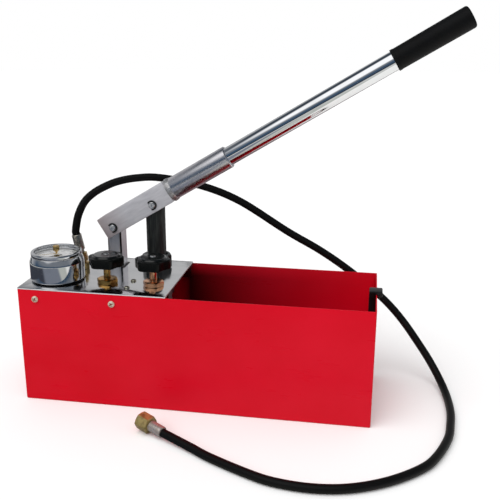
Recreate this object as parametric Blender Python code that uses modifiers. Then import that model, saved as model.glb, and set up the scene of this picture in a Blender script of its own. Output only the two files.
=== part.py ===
"""Hand-operated hydrostatic test pump on a red sheet-steel water tank, with its hose.

Metres, +Z up. The origin is the centre of the tank's bottom face, and +X runs along the tank
towards the lever's grip. The lever stands part-way up its stroke.
"""
from math import asin, cos, pi, radians, sin, tan

import bmesh
import bpy
from mathutils import Matrix, Vector

# Clearances and facet counts that every piece shares
GAP = 0.0003
RUNNING = 0.0004
OVERRUN = 0.002
HALF_GAP = GAP / 2
FINE_SIDES = 32
ROUND_SIDES = 24
SMALL_SIDES = 12
HEX_SIDES = 6
MERGE = 0.00001
SCREW_CROWN_SHARE = 0.7

# Tank: an open-topped sheet-steel box
TANK_LENGTH = 0.500
TANK_WIDTH = 0.163
TANK_HEIGHT = 0.170
TANK_WALL = 0.0015
TANK_CORNER = 0.002

# Deck plate over the left part of the tank, with flanges folded down inside the walls
PLATE_LENGTH = 0.215
PLATE_THICKNESS = 0.002
PLATE_FLANGE = 0.024

# Screws through the tank wall into the flanges
PLATE_SCREW_FROM_END = 0.0261
PLATE_SCREW_SPACING = 0.112
PLATE_SCREW_BELOW_RIM = 0.013
PLATE_SCREW_HEAD_RADIUS = 0.00475
PLATE_SCREW_HEAD_HEIGHT = 0.003
PLATE_SCREW_RADIUS = 0.0025
PLATE_SCREW_LENGTH = 0.008

# Places of the stations along the deck, from the tank's left end and its front or back side
GAUGE_FROM_END = 0.041
OUTLET_FROM_END = 0.059
SHUTOFF_FROM_END = 0.1175
PLUNGER_FROM_END = 0.1672
RELEASE_FROM_END = 0.186
CONTROL_FROM_FRONT = 0.0445
GAUGE_FROM_FRONT = 0.0485
OUTLET_BEHIND_GAUGE = 0.053
LEVER_FROM_BACK = 0.0355

# Lever linkage: the link rocks about its foot pin, under the deck
FULCRUM_ABOVE_DECK = 0.0632
LINK_FOOT_BELOW_DECK = 0.0423
LEVER_ARM = 0.0725
LEVER_REST_ANGLE = radians(31.0)
LINK_REST_LEAN = radians(0.0)
LEVER_DOWN_TURN = radians(-46.5)
LEVER_UP_TURN = radians(17.0)
LINK_RATIO = -0.18
SLIDE_PER_RADIAN = 0.0585
SWING_STEPS = 64

LINK_WIDTH = 0.022
LINK_DEPTH = 0.028
LINK_CHAMFER = 0.0025
LINK_SLOT_MARGIN = 0.0012
PIN_RADIUS = 0.005
PIN_PROTRUSION = 0.0025
CLIP_RADIUS = 0.0075
CLIP_THICKNESS = 0.0012

BRACKET_WALL = 0.003
BRACKET_LENGTH = 0.026
BRACKET_SIDE_PLAY = 0.001
BRACKET_FOOT_ROOM = 0.002
LINK_PIN_HEAD_RADIUS = 0.0075
LINK_PIN_HEAD = 0.002
LINK_PIN_TAIL = 0.003

# Lever: a channel fork with a welded socket, a tube and a rubber grip
FORK_BACK = 0.016
FORK_FRONT = 0.0975
FORK_BELOW = 0.0115
FORK_ABOVE = 0.0215
FORK_WALL = 0.0025
FORK_SIDE_PLAY = 0.0005
FORK_END_PLATE = 0.006
FORK_EDGE = 0.0008
TUBE_ABOVE_PINS = 0.005
SOCKET_RADIUS = 0.0165
SOCKET_LENGTH = 0.1025
SOCKET_FLOOR = 0.006
SOCKET_MOUTH = 0.001
WELD_RADIUS = 0.0182
WELD_LENGTH = 0.007
WELD_ROOT_RADIUS = 0.0156
TUBE_RADIUS = 0.0135
TUBE_WALL = 0.002
TUBE_LENGTH = 0.468
GRIP_RADIUS = 0.0155
GRIP_LENGTH = 0.112
GRIP_END = 0.0047
GRIP_ROUND = 0.0025

# Plunger, its gland and its barrel
PLUNGER_RADIUS = 0.0145
PLUNGER_ABOVE_PIN = 0.0105
PLUNGER_END_ROOM = 0.0046
PLUNGER_CHAMFER = 0.005
GLAND_HEX_RADIUS = 0.023
GLAND_HEX_HEIGHT = 0.0204
GLAND_SPIGOT_RADIUS = 0.017
GLAND_SPIGOT = 0.0153
PACKING_HEIGHT = 0.0047
BARREL_RADIUS = 0.020
BARREL_COLLAR_RADIUS = 0.025
BARREL_COLLAR = 0.0087

# Pump body: one casting under the deck plate, with drilled passages
BODY_HEIGHT = 0.029
BODY_START = 0.018
BODY_END = 0.206
BODY_BAR_WIDTH = 0.048
BODY_WEB_WIDTH = 0.046
BODY_WEB_STEP = 0.0006
BODY_BOSS_RADIUS = 0.027
OUTLET_ARM_WIDTH = 0.032
OUTLET_ARM_END = 0.014
UPPER_PASSAGE_DEPTH = 0.015
LOWER_PASSAGE_DEPTH = 0.024
PASSAGE_RADIUS = 0.003
PASSAGE_PAST = 0.005
BRANCH_RADIUS = 0.0026
OUTLET_BORE_BELOW_PASSAGE = 0.0034
VALVE_CHAMBER_DEPTH = 0.020
PLUG_RADIUS = 0.006
PLUG_LENGTH = 0.007
BODY_SCREW_FROM_PLUNGER = 0.0148
BODY_SCREW_OFFSETS = (-0.0185, 0.0115)
BODY_SCREW_HEAD_RADIUS = 0.004
BODY_SCREW_HEAD_HEIGHT = 0.0024
BODY_SCREW_RADIUS = 0.0022
BODY_SCREW_LENGTH = 0.012

# Foot valve, its ball and strainer, and the pipes
FOOT_RADIUS = 0.020
FOOT_HEIGHT = 0.0217
FOOT_SPIGOT = 0.0063
FOOT_CHAMBER_RADIUS = 0.0065
FOOT_CHAMBER_BASE = 0.006
FOOT_CHAMBER_HEIGHT = 0.012
FOOT_PORT_RADIUS = 0.004
SIDE_PORT_RADIUS = 0.0025
SIDE_PORT_HEIGHT = 0.018
SUCTION_BALL_RADIUS = 0.005
STRAINER_RADIUS = 0.017
STRAINER_HEIGHT = 0.0092
STRAINER_CLEARANCE = 0.001
STRAINER_WALL = 0.0015
STRAINER_SLOT = 0.003
STRAINER_SLOT_HEIGHT = 0.0045
STRAINER_SLOT_BASE = 0.003
STRAINER_SLOTS = 4
PIPE_RADIUS = 0.004
PIPE_BEND = 0.018
RETURN_PIPE_RADIUS = 0.005
RETURN_PIPE_LENGTH = 0.080
PIPE_WALL = 0.001
DELIVERY_PORT_RADIUS = 0.0025
DELIVERY_SEAT = 0.003
DELIVERY_CHAMBER_RADIUS = 0.0055
DELIVERY_ROOF_ABOVE_PASSAGE = 0.001
DELIVERY_BALL_RADIUS = 0.004

# Valves: bonnet, spindle and lobed knob
BONNET_RADIUS = 0.0155
BONNET_HEIGHT = 0.0064
BONNET_SPIGOT_RADIUS = 0.009
BONNET_SPIGOT = 0.0123
SPINDLE_RADIUS = 0.005
SPINDLE_TIP_RADIUS = 0.0024
SPINDLE_TIP = 0.005
SPINDLE_ABOVE_DECK = 0.0357
KNOB_ABOVE_DECK = 0.0232
KNOB_HUB_RADIUS = 0.009
KNOB_HUB = 0.003
KNOB_RADIUS = 0.0256
KNOB_LOBE_DEPTH = 0.003
KNOB_LOBES = 6
KNOB_HEIGHT = 0.0138
KNOB_EDGE = 0.0015
KNOB_CAP_BASE_RADIUS = 0.0208
KNOB_CAP_RADIUS = 0.0180
KNOB_CAP = 0.0027
KNOB_POINTS = 36
KNOB_SCREW_HEAD_RADIUS = 0.004
KNOB_SCREW_HEAD = 0.0017
KNOB_SCREW_RADIUS = 0.002
KNOB_SCREW_LENGTH = 0.012

# Gauge, lying level on a short stem
GAUGE_BASE_RADIUS = 0.0345
GAUGE_BASE_WALL = 0.004
GAUGE_BASE_HEIGHT = 0.0021
GAUGE_RADIUS = 0.0386
GAUGE_NECK_RADIUS = 0.0357
GAUGE_SHOULDER = 0.008
GAUGE_WALL = 0.0015
GAUGE_FLOOR = 0.002
GAUGE_CASE_HEIGHT = 0.034
BEZEL_RADIUS = 0.0360
BEZEL_HEIGHT = 0.006
BEZEL_OPENING = 0.0315
BEZEL_GROOVE_RADIUS = 0.0334
BEZEL_LIP = 0.0018
GLASS_THICKNESS = 0.0017
DIAL_RADIUS = 0.0340
DIAL_THICKNESS = 0.0008
DIAL_BELOW_RIM = 0.0026
STEM_RADIUS = 0.0055
STEM_BELOW_DECK = 0.0215
STEM_FLANGE_RADIUS = 0.010
STEM_FLANGE = 0.0015
STEM_BLOCK_WIDTH = 0.010
STEM_BLOCK_REACH = 0.025
STEM_BLOCK_HEIGHT = 0.008
MOVEMENT_RADIUS = 0.012
MOVEMENT_ARM_REACH = 0.0185
MOVEMENT_ARM_WIDTH = 0.004
MOVEMENT_ARM_HEIGHT = 0.006
BOURDON_LOOP_RADIUS = 0.0215
BOURDON_RADIUS = 0.0025
BOURDON_SWEEP = radians(235.0)
BOURDON_TILT_SHARE = 0.4
BOURDON_STEPS = 24
ARBOR_RADIUS = 0.0008
ARBOR_DEPTH = 0.006
NEEDLE_HUB_RADIUS = 0.003
NEEDLE_HUB = 0.0012
NEEDLE_LENGTH = 0.025
NEEDLE_TAIL = 0.008
NEEDLE_WIDTH = 0.0024
NEEDLE_TIP_WIDTH = 0.0006
NEEDLE_REST = radians(-135.0)
POINTER_SHAFT_RADIUS = 0.0012
POINTER_NECK_RADIUS = 0.0026
POINTER_NECK = 0.0015
POINTER_KNOB_RADIUS = 0.0045
POINTER_KNOB_TOP = 0.0092
POINTER_KNOB_EDGE = 0.0006
POINTER_LENGTH = 0.0235
POINTER_WIDTH = 0.0018
POINTER_THICKNESS = 0.0006
POINTER_BELOW_GLASS = 0.0012
POINTER_REST = radians(-150.0)

# Outlet fitting, its union nut and the crimped ferrule of the hose
OUTLET_HEX_RADIUS = 0.0095
OUTLET_HEX_HEIGHT = 0.0097
OUTLET_SPIGOT_RADIUS = 0.0065
OUTLET_STUB_RADIUS = 0.0045
OUTLET_STUB = 0.0037
OUTLET_BORE_RADIUS = 0.002
OUTLET_NUT_RADIUS = 0.0088
OUTLET_NUT_LENGTH = 0.012
OUTLET_NUT_BORE = 0.0056
OUTLET_NUT_BORE_DEPTH = 0.005
OUTLET_NUT_LIFT = 0.0022
OUTLET_NUT_LEAN = radians(11.0)
OUTLET_NUT_AZIMUTH = radians(194.4)
FERRULE_LENGTH = 0.0295
FERRULE_RADIUS = 0.0072
FERRULE_NECK_RADIUS = 0.0052
FERRULE_NECK_LENGTH = 0.005
FERRULE_EDGE = 0.0008

# Hose: the points that its middle line runs through, in order from the outlet to its far end
HOSE_RADIUS = 0.0058
HOSE_STEP = 0.021
HOSE_LEAD = 0.004
HOSE_ROUTE = (
    (-0.1975, 0.0215, 0.2470),
    (-0.1941, 0.0250, 0.2595),
    (-0.1872, 0.0300, 0.2738),
    (-0.1775, 0.0380, 0.2841),
    (-0.1648, 0.0470, 0.2921),
    (-0.1452, 0.0580, 0.3000),
    (-0.1187, 0.0710, 0.3041),
    (-0.0853, 0.0830, 0.3034),
    (-0.0256, 0.0980, 0.2906),
    (0.0345, 0.1060, 0.2668),
    (0.1086, 0.1130, 0.2202),
    (0.1623, 0.1150, 0.1904),
    (0.2100, 0.1150, 0.1590),
    (0.2590, 0.1120, 0.1213),
    (0.2923, 0.1020, 0.0896),
    (0.3252, 0.0820, 0.0508),
    (0.3413, 0.0680, 0.0300),
    (0.3536, 0.0490, 0.0130),
    (0.3600, 0.0160, 0.0062),
    (0.3611, -0.0266, 0.0062),
    (0.3576, -0.0643, 0.0062),
    (0.3508, -0.1023, 0.0062),
    (0.3320, -0.1497, 0.0062),
    (0.3114, -0.1790, 0.0062),
    (0.2723, -0.2113, 0.0062),
    (0.2275, -0.2330, 0.0062),
    (0.1829, -0.2405, 0.0062),
    (0.1366, -0.2360, 0.0062),
    (0.1008, -0.2230, 0.0062),
    (0.0508, -0.1982, 0.0062),
    (0.0236, -0.1819, 0.0071),
)
HOSE_END = (-0.0212, -0.1575, 0.0102)

END_FERRULE_RADIUS = 0.0076
END_FERRULE_LENGTH = 0.022
END_TAIL_RADIUS = 0.0062
END_TAIL = 0.009
END_RISE = radians(6.6)
END_AZIMUTH = radians(151.4)
UNION_NUT_RADIUS = 0.0125
UNION_NUT_LENGTH = 0.019
UNION_NUT_BORE = 0.0093
UNION_NUT_FLOOR = 0.0030
WASHER_THICKNESS = 0.0015
WASHER_BORE = 0.0035

# Storage hook for the lever, clipped over the right end wall
HOOK_WIDTH = 0.019
HOOK_Y = -0.0075
HOOK_INNER_LEG = 0.0092
HOOK_OUTER_LEG = 0.0072
HOOK_TOP = 0.0047
HOOK_INNER_DROP = 0.035
HOOK_OUTER_DROP = 0.003

# Places that follow from the sizes above
LEFT_END = -TANK_LENGTH / 2
PLATE_UNDER = TANK_HEIGHT + GAP
DECK = PLATE_UNDER + PLATE_THICKNESS
CONTROL_Y = CONTROL_FROM_FRONT - TANK_WIDTH / 2
GAUGE_Y = GAUGE_FROM_FRONT - TANK_WIDTH / 2
OUTLET_Y = GAUGE_Y + OUTLET_BEHIND_GAUGE
LEVER_Y = TANK_WIDTH / 2 - LEVER_FROM_BACK
GAUGE_X = LEFT_END + GAUGE_FROM_END
OUTLET_X = LEFT_END + OUTLET_FROM_END
SHUTOFF_X = LEFT_END + SHUTOFF_FROM_END
PLUNGER_X = LEFT_END + PLUNGER_FROM_END
RELEASE_X = LEFT_END + RELEASE_FROM_END
FULCRUM = Vector((PLUNGER_X - LEVER_ARM * cos(LEVER_REST_ANGLE), LEVER_Y, DECK + FULCRUM_ABOVE_DECK))
FOOT_Z = DECK - LINK_FOOT_BELOW_DECK
LINK_FOOT = Vector((FULCRUM.x + (FULCRUM.z - FOOT_Z) * tan(LINK_REST_LEAN), LEVER_Y, FOOT_Z))
LINK_LENGTH = (FULCRUM - LINK_FOOT).length
PLUNGER_PIN_Z = FULCRUM.z + LEVER_ARM * sin(LEVER_REST_ANGLE)
BODY_TOP = TANK_HEIGHT
BODY_BASE = BODY_TOP - BODY_HEIGHT
STRAINER_BASE = TANK_WALL + STRAINER_CLEARANCE
FOOT_BASE = STRAINER_BASE + STRAINER_HEIGHT + GAP
FOOT_TOP = FOOT_BASE + FOOT_HEIGHT
BARREL_BASE = FOOT_TOP + GAP
PLUNGER_BASE = FOOT_TOP + FOOT_SPIGOT + PLUNGER_END_ROOM - SLIDE_PER_RADIAN * LEVER_DOWN_TURN
CHAMBER_BASE = BODY_TOP - VALVE_CHAMBER_DEPTH
UPPER_PASSAGE = BODY_TOP - UPPER_PASSAGE_DEPTH
LOWER_PASSAGE = BODY_TOP - LOWER_PASSAGE_DEPTH

PARTS = "hydrostatic_test_pump"
CUTTERS = "cutters"


def clear_scene():
    for old in list(bpy.data.objects):
        bpy.data.objects.remove(old, do_unlink=True)
    for name in (PARTS, CUTTERS):
        group = bpy.data.collections.new(name)
        bpy.context.scene.collection.children.link(group)


def paint(name, colour, roughness, metallic):
    """A plain Principled material."""
    material = bpy.data.materials.new(name)
    material.use_nodes = True
    shader = material.node_tree.nodes["Principled BSDF"]
    shader.inputs["Base Color"].default_value = (*colour, 1.0)
    shader.inputs["Roughness"].default_value = roughness
    shader.inputs["Metallic"].default_value = metallic
    return material


def place(thing, parent=None, at=(0, 0, 0), turn=(0, 0, 0)):
    thing.location = at
    thing.rotation_euler = turn
    thing.parent = parent
    return thing


def add_part(name, mesh, material, parent=None, at=(0, 0, 0), turn=(0, 0, 0)):
    """Make one named piece of the pump from a mesh or a curve."""
    thing = bpy.data.objects.new(name, mesh)
    mesh.materials.append(material)
    bpy.data.collections[PARTS].objects.link(thing)
    return place(thing, parent, at, turn)


def add_axis(name, at, turn=(0, 0, 0), parent=None):
    """An empty on a joint's axis, which carries the pieces that move about it."""
    empty = bpy.data.objects.new(name, None)
    empty.empty_display_size = PIN_RADIUS
    bpy.data.collections[PARTS].objects.link(empty)
    return place(empty, parent, at, turn)


def add_tool(name, mesh, parent=None, at=(0, 0, 0), turn=(0, 0, 0)):
    """A shape that is only cut from, or joined to, another."""
    tool = bpy.data.objects.new(name, mesh)
    bpy.data.collections[CUTTERS].objects.link(tool)
    tool.hide_render = True
    tool.display_type = "WIRE"
    return place(tool, parent, at, turn)


def shape(target, operation, mesh, parent=None, at=(0, 0, 0), turn=(0, 0, 0)):
    tool = add_tool(f"{target.name}_{operation.lower()}", mesh, parent, at, turn)
    step = target.modifiers.new(operation.title(), "BOOLEAN")
    step.operation = operation
    step.solver = "EXACT"
    step.object = tool


def cut(target, mesh, **where):
    shape(target, "DIFFERENCE", mesh, **where)


def join(target, mesh, **where):
    shape(target, "UNION", mesh, **where)


def finished(bm, name="shape"):
    mesh = bpy.data.meshes.new(name)
    bm.to_mesh(mesh)
    bm.free()
    mesh.shade_smooth()
    mesh.set_sharp_from_angle(angle=radians(40))
    return mesh


def block(low, high, edge=0.0):
    """A box between two corners, with its edges eased where edge is given."""
    bm = bmesh.new()
    bmesh.ops.create_cube(bm, size=1.0)
    low, high = Vector(low), Vector(high)
    bmesh.ops.scale(bm, vec=high - low, verts=bm.verts)
    bmesh.ops.translate(bm, vec=(low + high) / 2, verts=bm.verts)
    if edge:
        bmesh.ops.bevel(bm, geom=bm.edges[:], offset=edge, segments=1, affect="EDGES", profile=0.5)
    return finished(bm)


def rod(start, end, radius, sides=ROUND_SIDES, end_radius=None, turn=0.0):
    """A cylinder or cone between two points."""
    start, end = Vector(start), Vector(end)
    along = end - start
    bm = bmesh.new()
    bmesh.ops.create_cone(
        bm,
        cap_ends=True,
        segments=sides,
        radius1=radius,
        radius2=radius if end_radius is None else end_radius,
        depth=along.length,
    )
    spin = Matrix.Rotation(turn, 4, "Z")
    aim = along.to_track_quat("Z", "Y").to_matrix().to_4x4()
    bm.transform(Matrix.Translation((start + end) / 2) @ aim @ spin)
    return finished(bm)


def hexagon(start, end, radius):
    """A hexagonal bar with two corners along X."""
    return rod(start, end, radius, HEX_SIDES, turn=pi / HEX_SIDES)


def ball(radius, sides=SMALL_SIDES):
    bm = bmesh.new()
    bmesh.ops.create_uvsphere(bm, u_segments=sides, v_segments=sides // 2, radius=radius)
    return finished(bm)


def turned(profile, sides=ROUND_SIDES):
    """A solid of revolution about Z, from points (radius, height) that go down its outer side."""
    bm = bmesh.new()
    points = [bm.verts.new((radius, 0, height)) for radius, height in profile]
    for first, second in zip(points, points[1:]):
        bm.edges.new((first, second))
    if profile[0][0] > 0:
        bm.edges.new((points[-1], points[0]))
    mesh = bpy.data.meshes.new("profile")
    bm.to_mesh(mesh)
    bm.free()
    draft = bpy.data.objects.new("profile", mesh)
    bpy.context.scene.collection.objects.link(draft)
    lathe = draft.modifiers.new("Lathe", "SCREW")
    lathe.steps = sides
    lathe.render_steps = sides
    lathe.use_merge_vertices = True
    lathe.merge_threshold = MERGE
    return settled(draft)


def settled(draft):
    """The evaluated mesh of a draft object, which is removed."""
    graph = bpy.context.evaluated_depsgraph_get()
    mesh = bpy.data.meshes.new_from_object(draft.evaluated_get(graph))
    bpy.data.objects.remove(draft)
    bm = bmesh.new()
    bm.from_mesh(mesh)
    bmesh.ops.remove_doubles(bm, verts=bm.verts, dist=MERGE)
    return finished(bm)


def ring(outer, inner, low, high, sides=ROUND_SIDES):
    return turned(((outer, high), (outer, low), (inner, low), (inner, high)), sides)


def slab(outline, thickness, edge=0.0):
    """A flat outline in XY, made as thick as asked and centred on the plane."""
    curve = bpy.data.curves.new("outline", "CURVE")
    curve.dimensions = "2D"
    curve.fill_mode = "BOTH"
    curve.extrude = thickness / 2 - edge
    curve.bevel_depth = edge
    curve.bevel_resolution = 0
    curve.offset = -edge
    line = curve.splines.new("POLY")
    line.points.add(len(outline) - 1)
    for point, (x, y) in zip(line.points, outline):
        point.co = (x, y, 0, 1)
    line.use_cyclic_u = True
    draft = bpy.data.objects.new("outline", curve)
    bpy.context.scene.collection.objects.link(draft)
    return settled(draft)


def moved(mesh, matrix):
    mesh.transform(matrix)
    return mesh


def tube_curve(name, points, radius, resolution):
    """A round tube with filled caps along the points."""
    curve = bpy.data.curves.new(name, "CURVE")
    curve.dimensions = "3D"
    curve.bevel_depth = radius
    curve.bevel_resolution = resolution
    curve.use_fill_caps = True
    line = curve.splines.new("POLY")
    line.points.add(len(points) - 1)
    for point, place_of in zip(line.points, points):
        point.co = (*place_of, 1)
    return curve


def tube_mesh(points, radius, resolution=2):
    draft = bpy.data.objects.new("tube", tube_curve("tube", points, radius, resolution))
    bpy.context.scene.collection.objects.link(draft)
    return settled(draft)


def smooth_points(route, step):
    """The route's two ends, and points about a step apart on a smooth curve between them.

    The first and the last stretch stay straight, and the rest is a Catmull-Rom curve.
    """
    route = [Vector(point) for point in route]
    fine = []
    pieces = 16
    for before, start, end, after in zip(route, route[1:], route[2:], route[3:]):
        for part in range(pieces):
            t = part / pieces
            bend = 2 * start + (end - before) * t
            bend += (2 * before - 5 * start + 4 * end - after) * t**2
            bend += (3 * start - before - 3 * end + after) * t**3
            fine.append(bend / 2)
    fine.append(route[-2])
    lengths = [0.0]
    for first, second in zip(fine, fine[1:]):
        lengths.append(lengths[-1] + (second - first).length)
    count = max(2, round(lengths[-1] / step))
    chosen = [route[0]]
    index = 0
    for number in range(count + 1):
        want = lengths[-1] * number / count
        while index < len(fine) - 2 and lengths[index + 1] < want:
            index += 1
        share = (want - lengths[index]) / (lengths[index + 1] - lengths[index])
        chosen.append(fine[index].lerp(fine[index + 1], share))
    return [*chosen, route[-1]]


def bend_points(start, corner, end, radius, steps=6):
    """A straight run, a round bend at the corner and a second straight run."""
    start, corner, end = Vector(start), Vector(corner), Vector(end)
    back = (start - corner).normalized()
    on = (end - corner).normalized()
    points = [start]
    for number in range(steps + 1):
        angle = pi / 2 * number / steps
        points.append(corner + back * radius * (1 - sin(angle)) + on * radius * (1 - cos(angle)))
    points.append(end)
    return points


def linkage(turn):
    """Link lean, lever angle and the wander of the lever's pin from the plunger's slide."""
    swing = LINK_RATIO * turn
    lean = LINK_REST_LEAN + swing
    angle = LEVER_REST_ANGLE + turn + swing
    pin_x = LINK_FOOT.x - LINK_LENGTH * sin(lean) + LEVER_ARM * cos(angle)
    pin_z = LINK_FOOT.z + LINK_LENGTH * cos(lean) + LEVER_ARM * sin(angle)
    return lean, pin_x - PLUNGER_X, pin_z - (PLUNGER_PIN_Z + SLIDE_PER_RADIAN * turn)


def swing_limits():
    """The range of lean and of both wanders, over the lever's whole swing."""
    span = LEVER_UP_TURN - LEVER_DOWN_TURN
    turns = [LEVER_DOWN_TURN + span * number / SWING_STEPS for number in range(SWING_STEPS + 1)]
    return [(min(values), max(values)) for values in zip(*map(linkage, turns))]


def make_tank(red):
    half_length, half_width = TANK_LENGTH / 2, TANK_WIDTH / 2
    bm = bmesh.new()
    bmesh.ops.create_cube(bm, size=1.0)
    bmesh.ops.scale(bm, vec=(TANK_LENGTH, TANK_WIDTH, TANK_HEIGHT), verts=bm.verts)
    bmesh.ops.translate(bm, vec=(0, 0, TANK_HEIGHT / 2), verts=bm.verts)
    top = [face for face in bm.faces if face.normal.z > 0.5]
    bmesh.ops.delete(bm, geom=top, context="FACES_ONLY")
    folds = [edge for edge in bm.edges if not edge.is_boundary]
    bmesh.ops.bevel(bm, geom=folds, offset=TANK_CORNER, segments=2, affect="EDGES", profile=0.5)
    tank = add_part("tank", finished(bm), red)
    shell = tank.modifiers.new("Sheet", "SOLIDIFY")
    shell.thickness = TANK_WALL
    shell.offset = -1
    shell.use_even_offset = True
    for x in plate_screw_places():
        for side in (-1, 1):
            wall = (x, side * half_width, TANK_HEIGHT - PLATE_SCREW_BELOW_RIM)
            inside = Vector(wall) - Vector((0, side * (TANK_WALL + OVERRUN), 0))
            outside = Vector(wall) + Vector((0, side * OVERRUN, 0))
            cut(tank, rod(inside, outside, PLATE_SCREW_RADIUS + GAP, SMALL_SIDES))
    make_hook(half_length)


def plate_screw_places():
    first = LEFT_END + PLATE_SCREW_FROM_END
    return first, first + PLATE_SCREW_SPACING


def make_hook(end):
    """The plastic hook that sits over the right end wall."""
    black = paint("hook_plastic", (0.015, 0.015, 0.017), 0.45, 0.0)
    wall_inside = end - TANK_WALL - GAP
    wall_outside = end + GAP
    rim = TANK_HEIGHT + GAP
    top = rim + HOOK_TOP
    outline = (
        (wall_inside - HOOK_INNER_LEG, top - HOOK_INNER_DROP - HOOK_TOP),
        (wall_inside, top - HOOK_INNER_DROP - HOOK_TOP),
        (wall_inside, rim),
        (wall_outside, rim),
        (wall_outside, rim - HOOK_OUTER_DROP),
        (wall_outside + HOOK_OUTER_LEG, rim - HOOK_OUTER_DROP),
        (wall_outside + HOOK_OUTER_LEG, top),
        (wall_inside - HOOK_INNER_LEG, top),
    )
    stand = Matrix.Rotation(pi / 2, 4, "X")
    add_part("lever_clip", moved(slab(outline, HOOK_WIDTH), stand), black, at=(0, HOOK_Y, 0))


def make_deck_plate(limits):
    """The plate, its flanges and its holes."""
    bright = paint("polished_steel", (0.72, 0.73, 0.74), 0.15, 1.0)
    start, end = LEFT_END, LEFT_END + PLATE_LENGTH
    half = TANK_WIDTH / 2
    plate = add_part("deck_plate", block((start, -half, PLATE_UNDER), (end, half, DECK)), bright)
    flange_outer = half - TANK_WALL - GAP
    flange_start = start + TANK_WALL + TANK_CORNER
    for side in (-1, 1):
        faces = sorted((side * flange_outer, side * (flange_outer - PLATE_THICKNESS)))
        low = (flange_start, faces[0], PLATE_UNDER - PLATE_FLANGE)
        high = (end - PLATE_THICKNESS, faces[1], PLATE_UNDER + PLATE_THICKNESS / 2)
        join(plate, block(low, high))
    below, above = PLATE_UNDER - OVERRUN, DECK + OVERRUN
    control_holes = (
        (SHUTOFF_X, CONTROL_Y, BONNET_SPIGOT_RADIUS),
        (RELEASE_X, CONTROL_Y, BONNET_SPIGOT_RADIUS),
        (PLUNGER_X, LEVER_Y, GLAND_SPIGOT_RADIUS),
        (GAUGE_X, GAUGE_Y, STEM_RADIUS),
        (OUTLET_X, OUTLET_Y, OUTLET_SPIGOT_RADIUS),
    )
    for x, y, radius in control_holes:
        cut(plate, rod((x, y, below), (x, y, above), radius + 2 * GAP, ROUND_SIDES))
    for x, y in body_screw_places():
        cut(plate, rod((x, y, below), (x, y, above), BODY_SCREW_RADIUS + GAP, SMALL_SIDES))
    lefts, rights = [], []
    for lean in limits[0]:
        for height in (DECK - LINK_FOOT.z, PLATE_UNDER - LINK_FOOT.z):
            centre = LINK_FOOT.x - height * tan(lean)
            reach = LINK_WIDTH / 2 / cos(lean) + LINK_SLOT_MARGIN
            lefts.append(centre - reach)
            rights.append(centre + reach)
    left, right = min(lefts), max(rights)
    half_slot = LINK_DEPTH / 2 + LINK_SLOT_MARGIN
    cut(plate, block((left, LEVER_Y - half_slot, below), (right, LEVER_Y + half_slot, above)))
    for x in plate_screw_places():
        z = TANK_HEIGHT - PLATE_SCREW_BELOW_RIM
        for side in (-1, 1):
            outer = side * (flange_outer + OVERRUN)
            inner = side * (flange_outer - PLATE_THICKNESS - OVERRUN)
            cut(plate, rod((x, inner, z), (x, outer, z), PLATE_SCREW_RADIUS + GAP, SMALL_SIDES))


def body_screw_places():
    x = PLUNGER_X - BODY_SCREW_FROM_PLUNGER
    return [(x, CONTROL_Y + offset) for offset in BODY_SCREW_OFFSETS]


def screw(head_radius, head_height, radius, length):
    """A pan-head screw pointing down, its head standing on z = 0."""
    profile = (
        (0, head_height),
        (head_radius * SCREW_CROWN_SHARE, head_height),
        (head_radius, head_height / 2),
        (head_radius, 0),
        (radius, 0),
        (radius, -length),
        (0, -length),
    )
    return turned(profile, SMALL_SIDES)


def make_screws():
    zinc = paint("zinc_screw", (0.62, 0.58, 0.45), 0.35, 1.0)
    outside = TANK_WIDTH / 2 + GAP
    number = 0
    for side, turn in ((-1, pi / 2), (1, -pi / 2)):
        for x in plate_screw_places():
            number += 1
            head = (PLATE_SCREW_HEAD_RADIUS, PLATE_SCREW_HEAD_HEIGHT)
            mesh = screw(*head, PLATE_SCREW_RADIUS, PLATE_SCREW_LENGTH)
            at = (x, side * outside, TANK_HEIGHT - PLATE_SCREW_BELOW_RIM)
            add_part(f"plate_screw_{number}", mesh, zinc, at=at, turn=(turn, 0, 0))
    for number, (x, y) in enumerate(body_screw_places(), 1):
        head = (BODY_SCREW_HEAD_RADIUS, BODY_SCREW_HEAD_HEIGHT)
        mesh = screw(*head, BODY_SCREW_RADIUS, BODY_SCREW_LENGTH)
        add_part(f"body_screw_{number}", mesh, zinc, at=(x, y, DECK + GAP))


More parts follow.
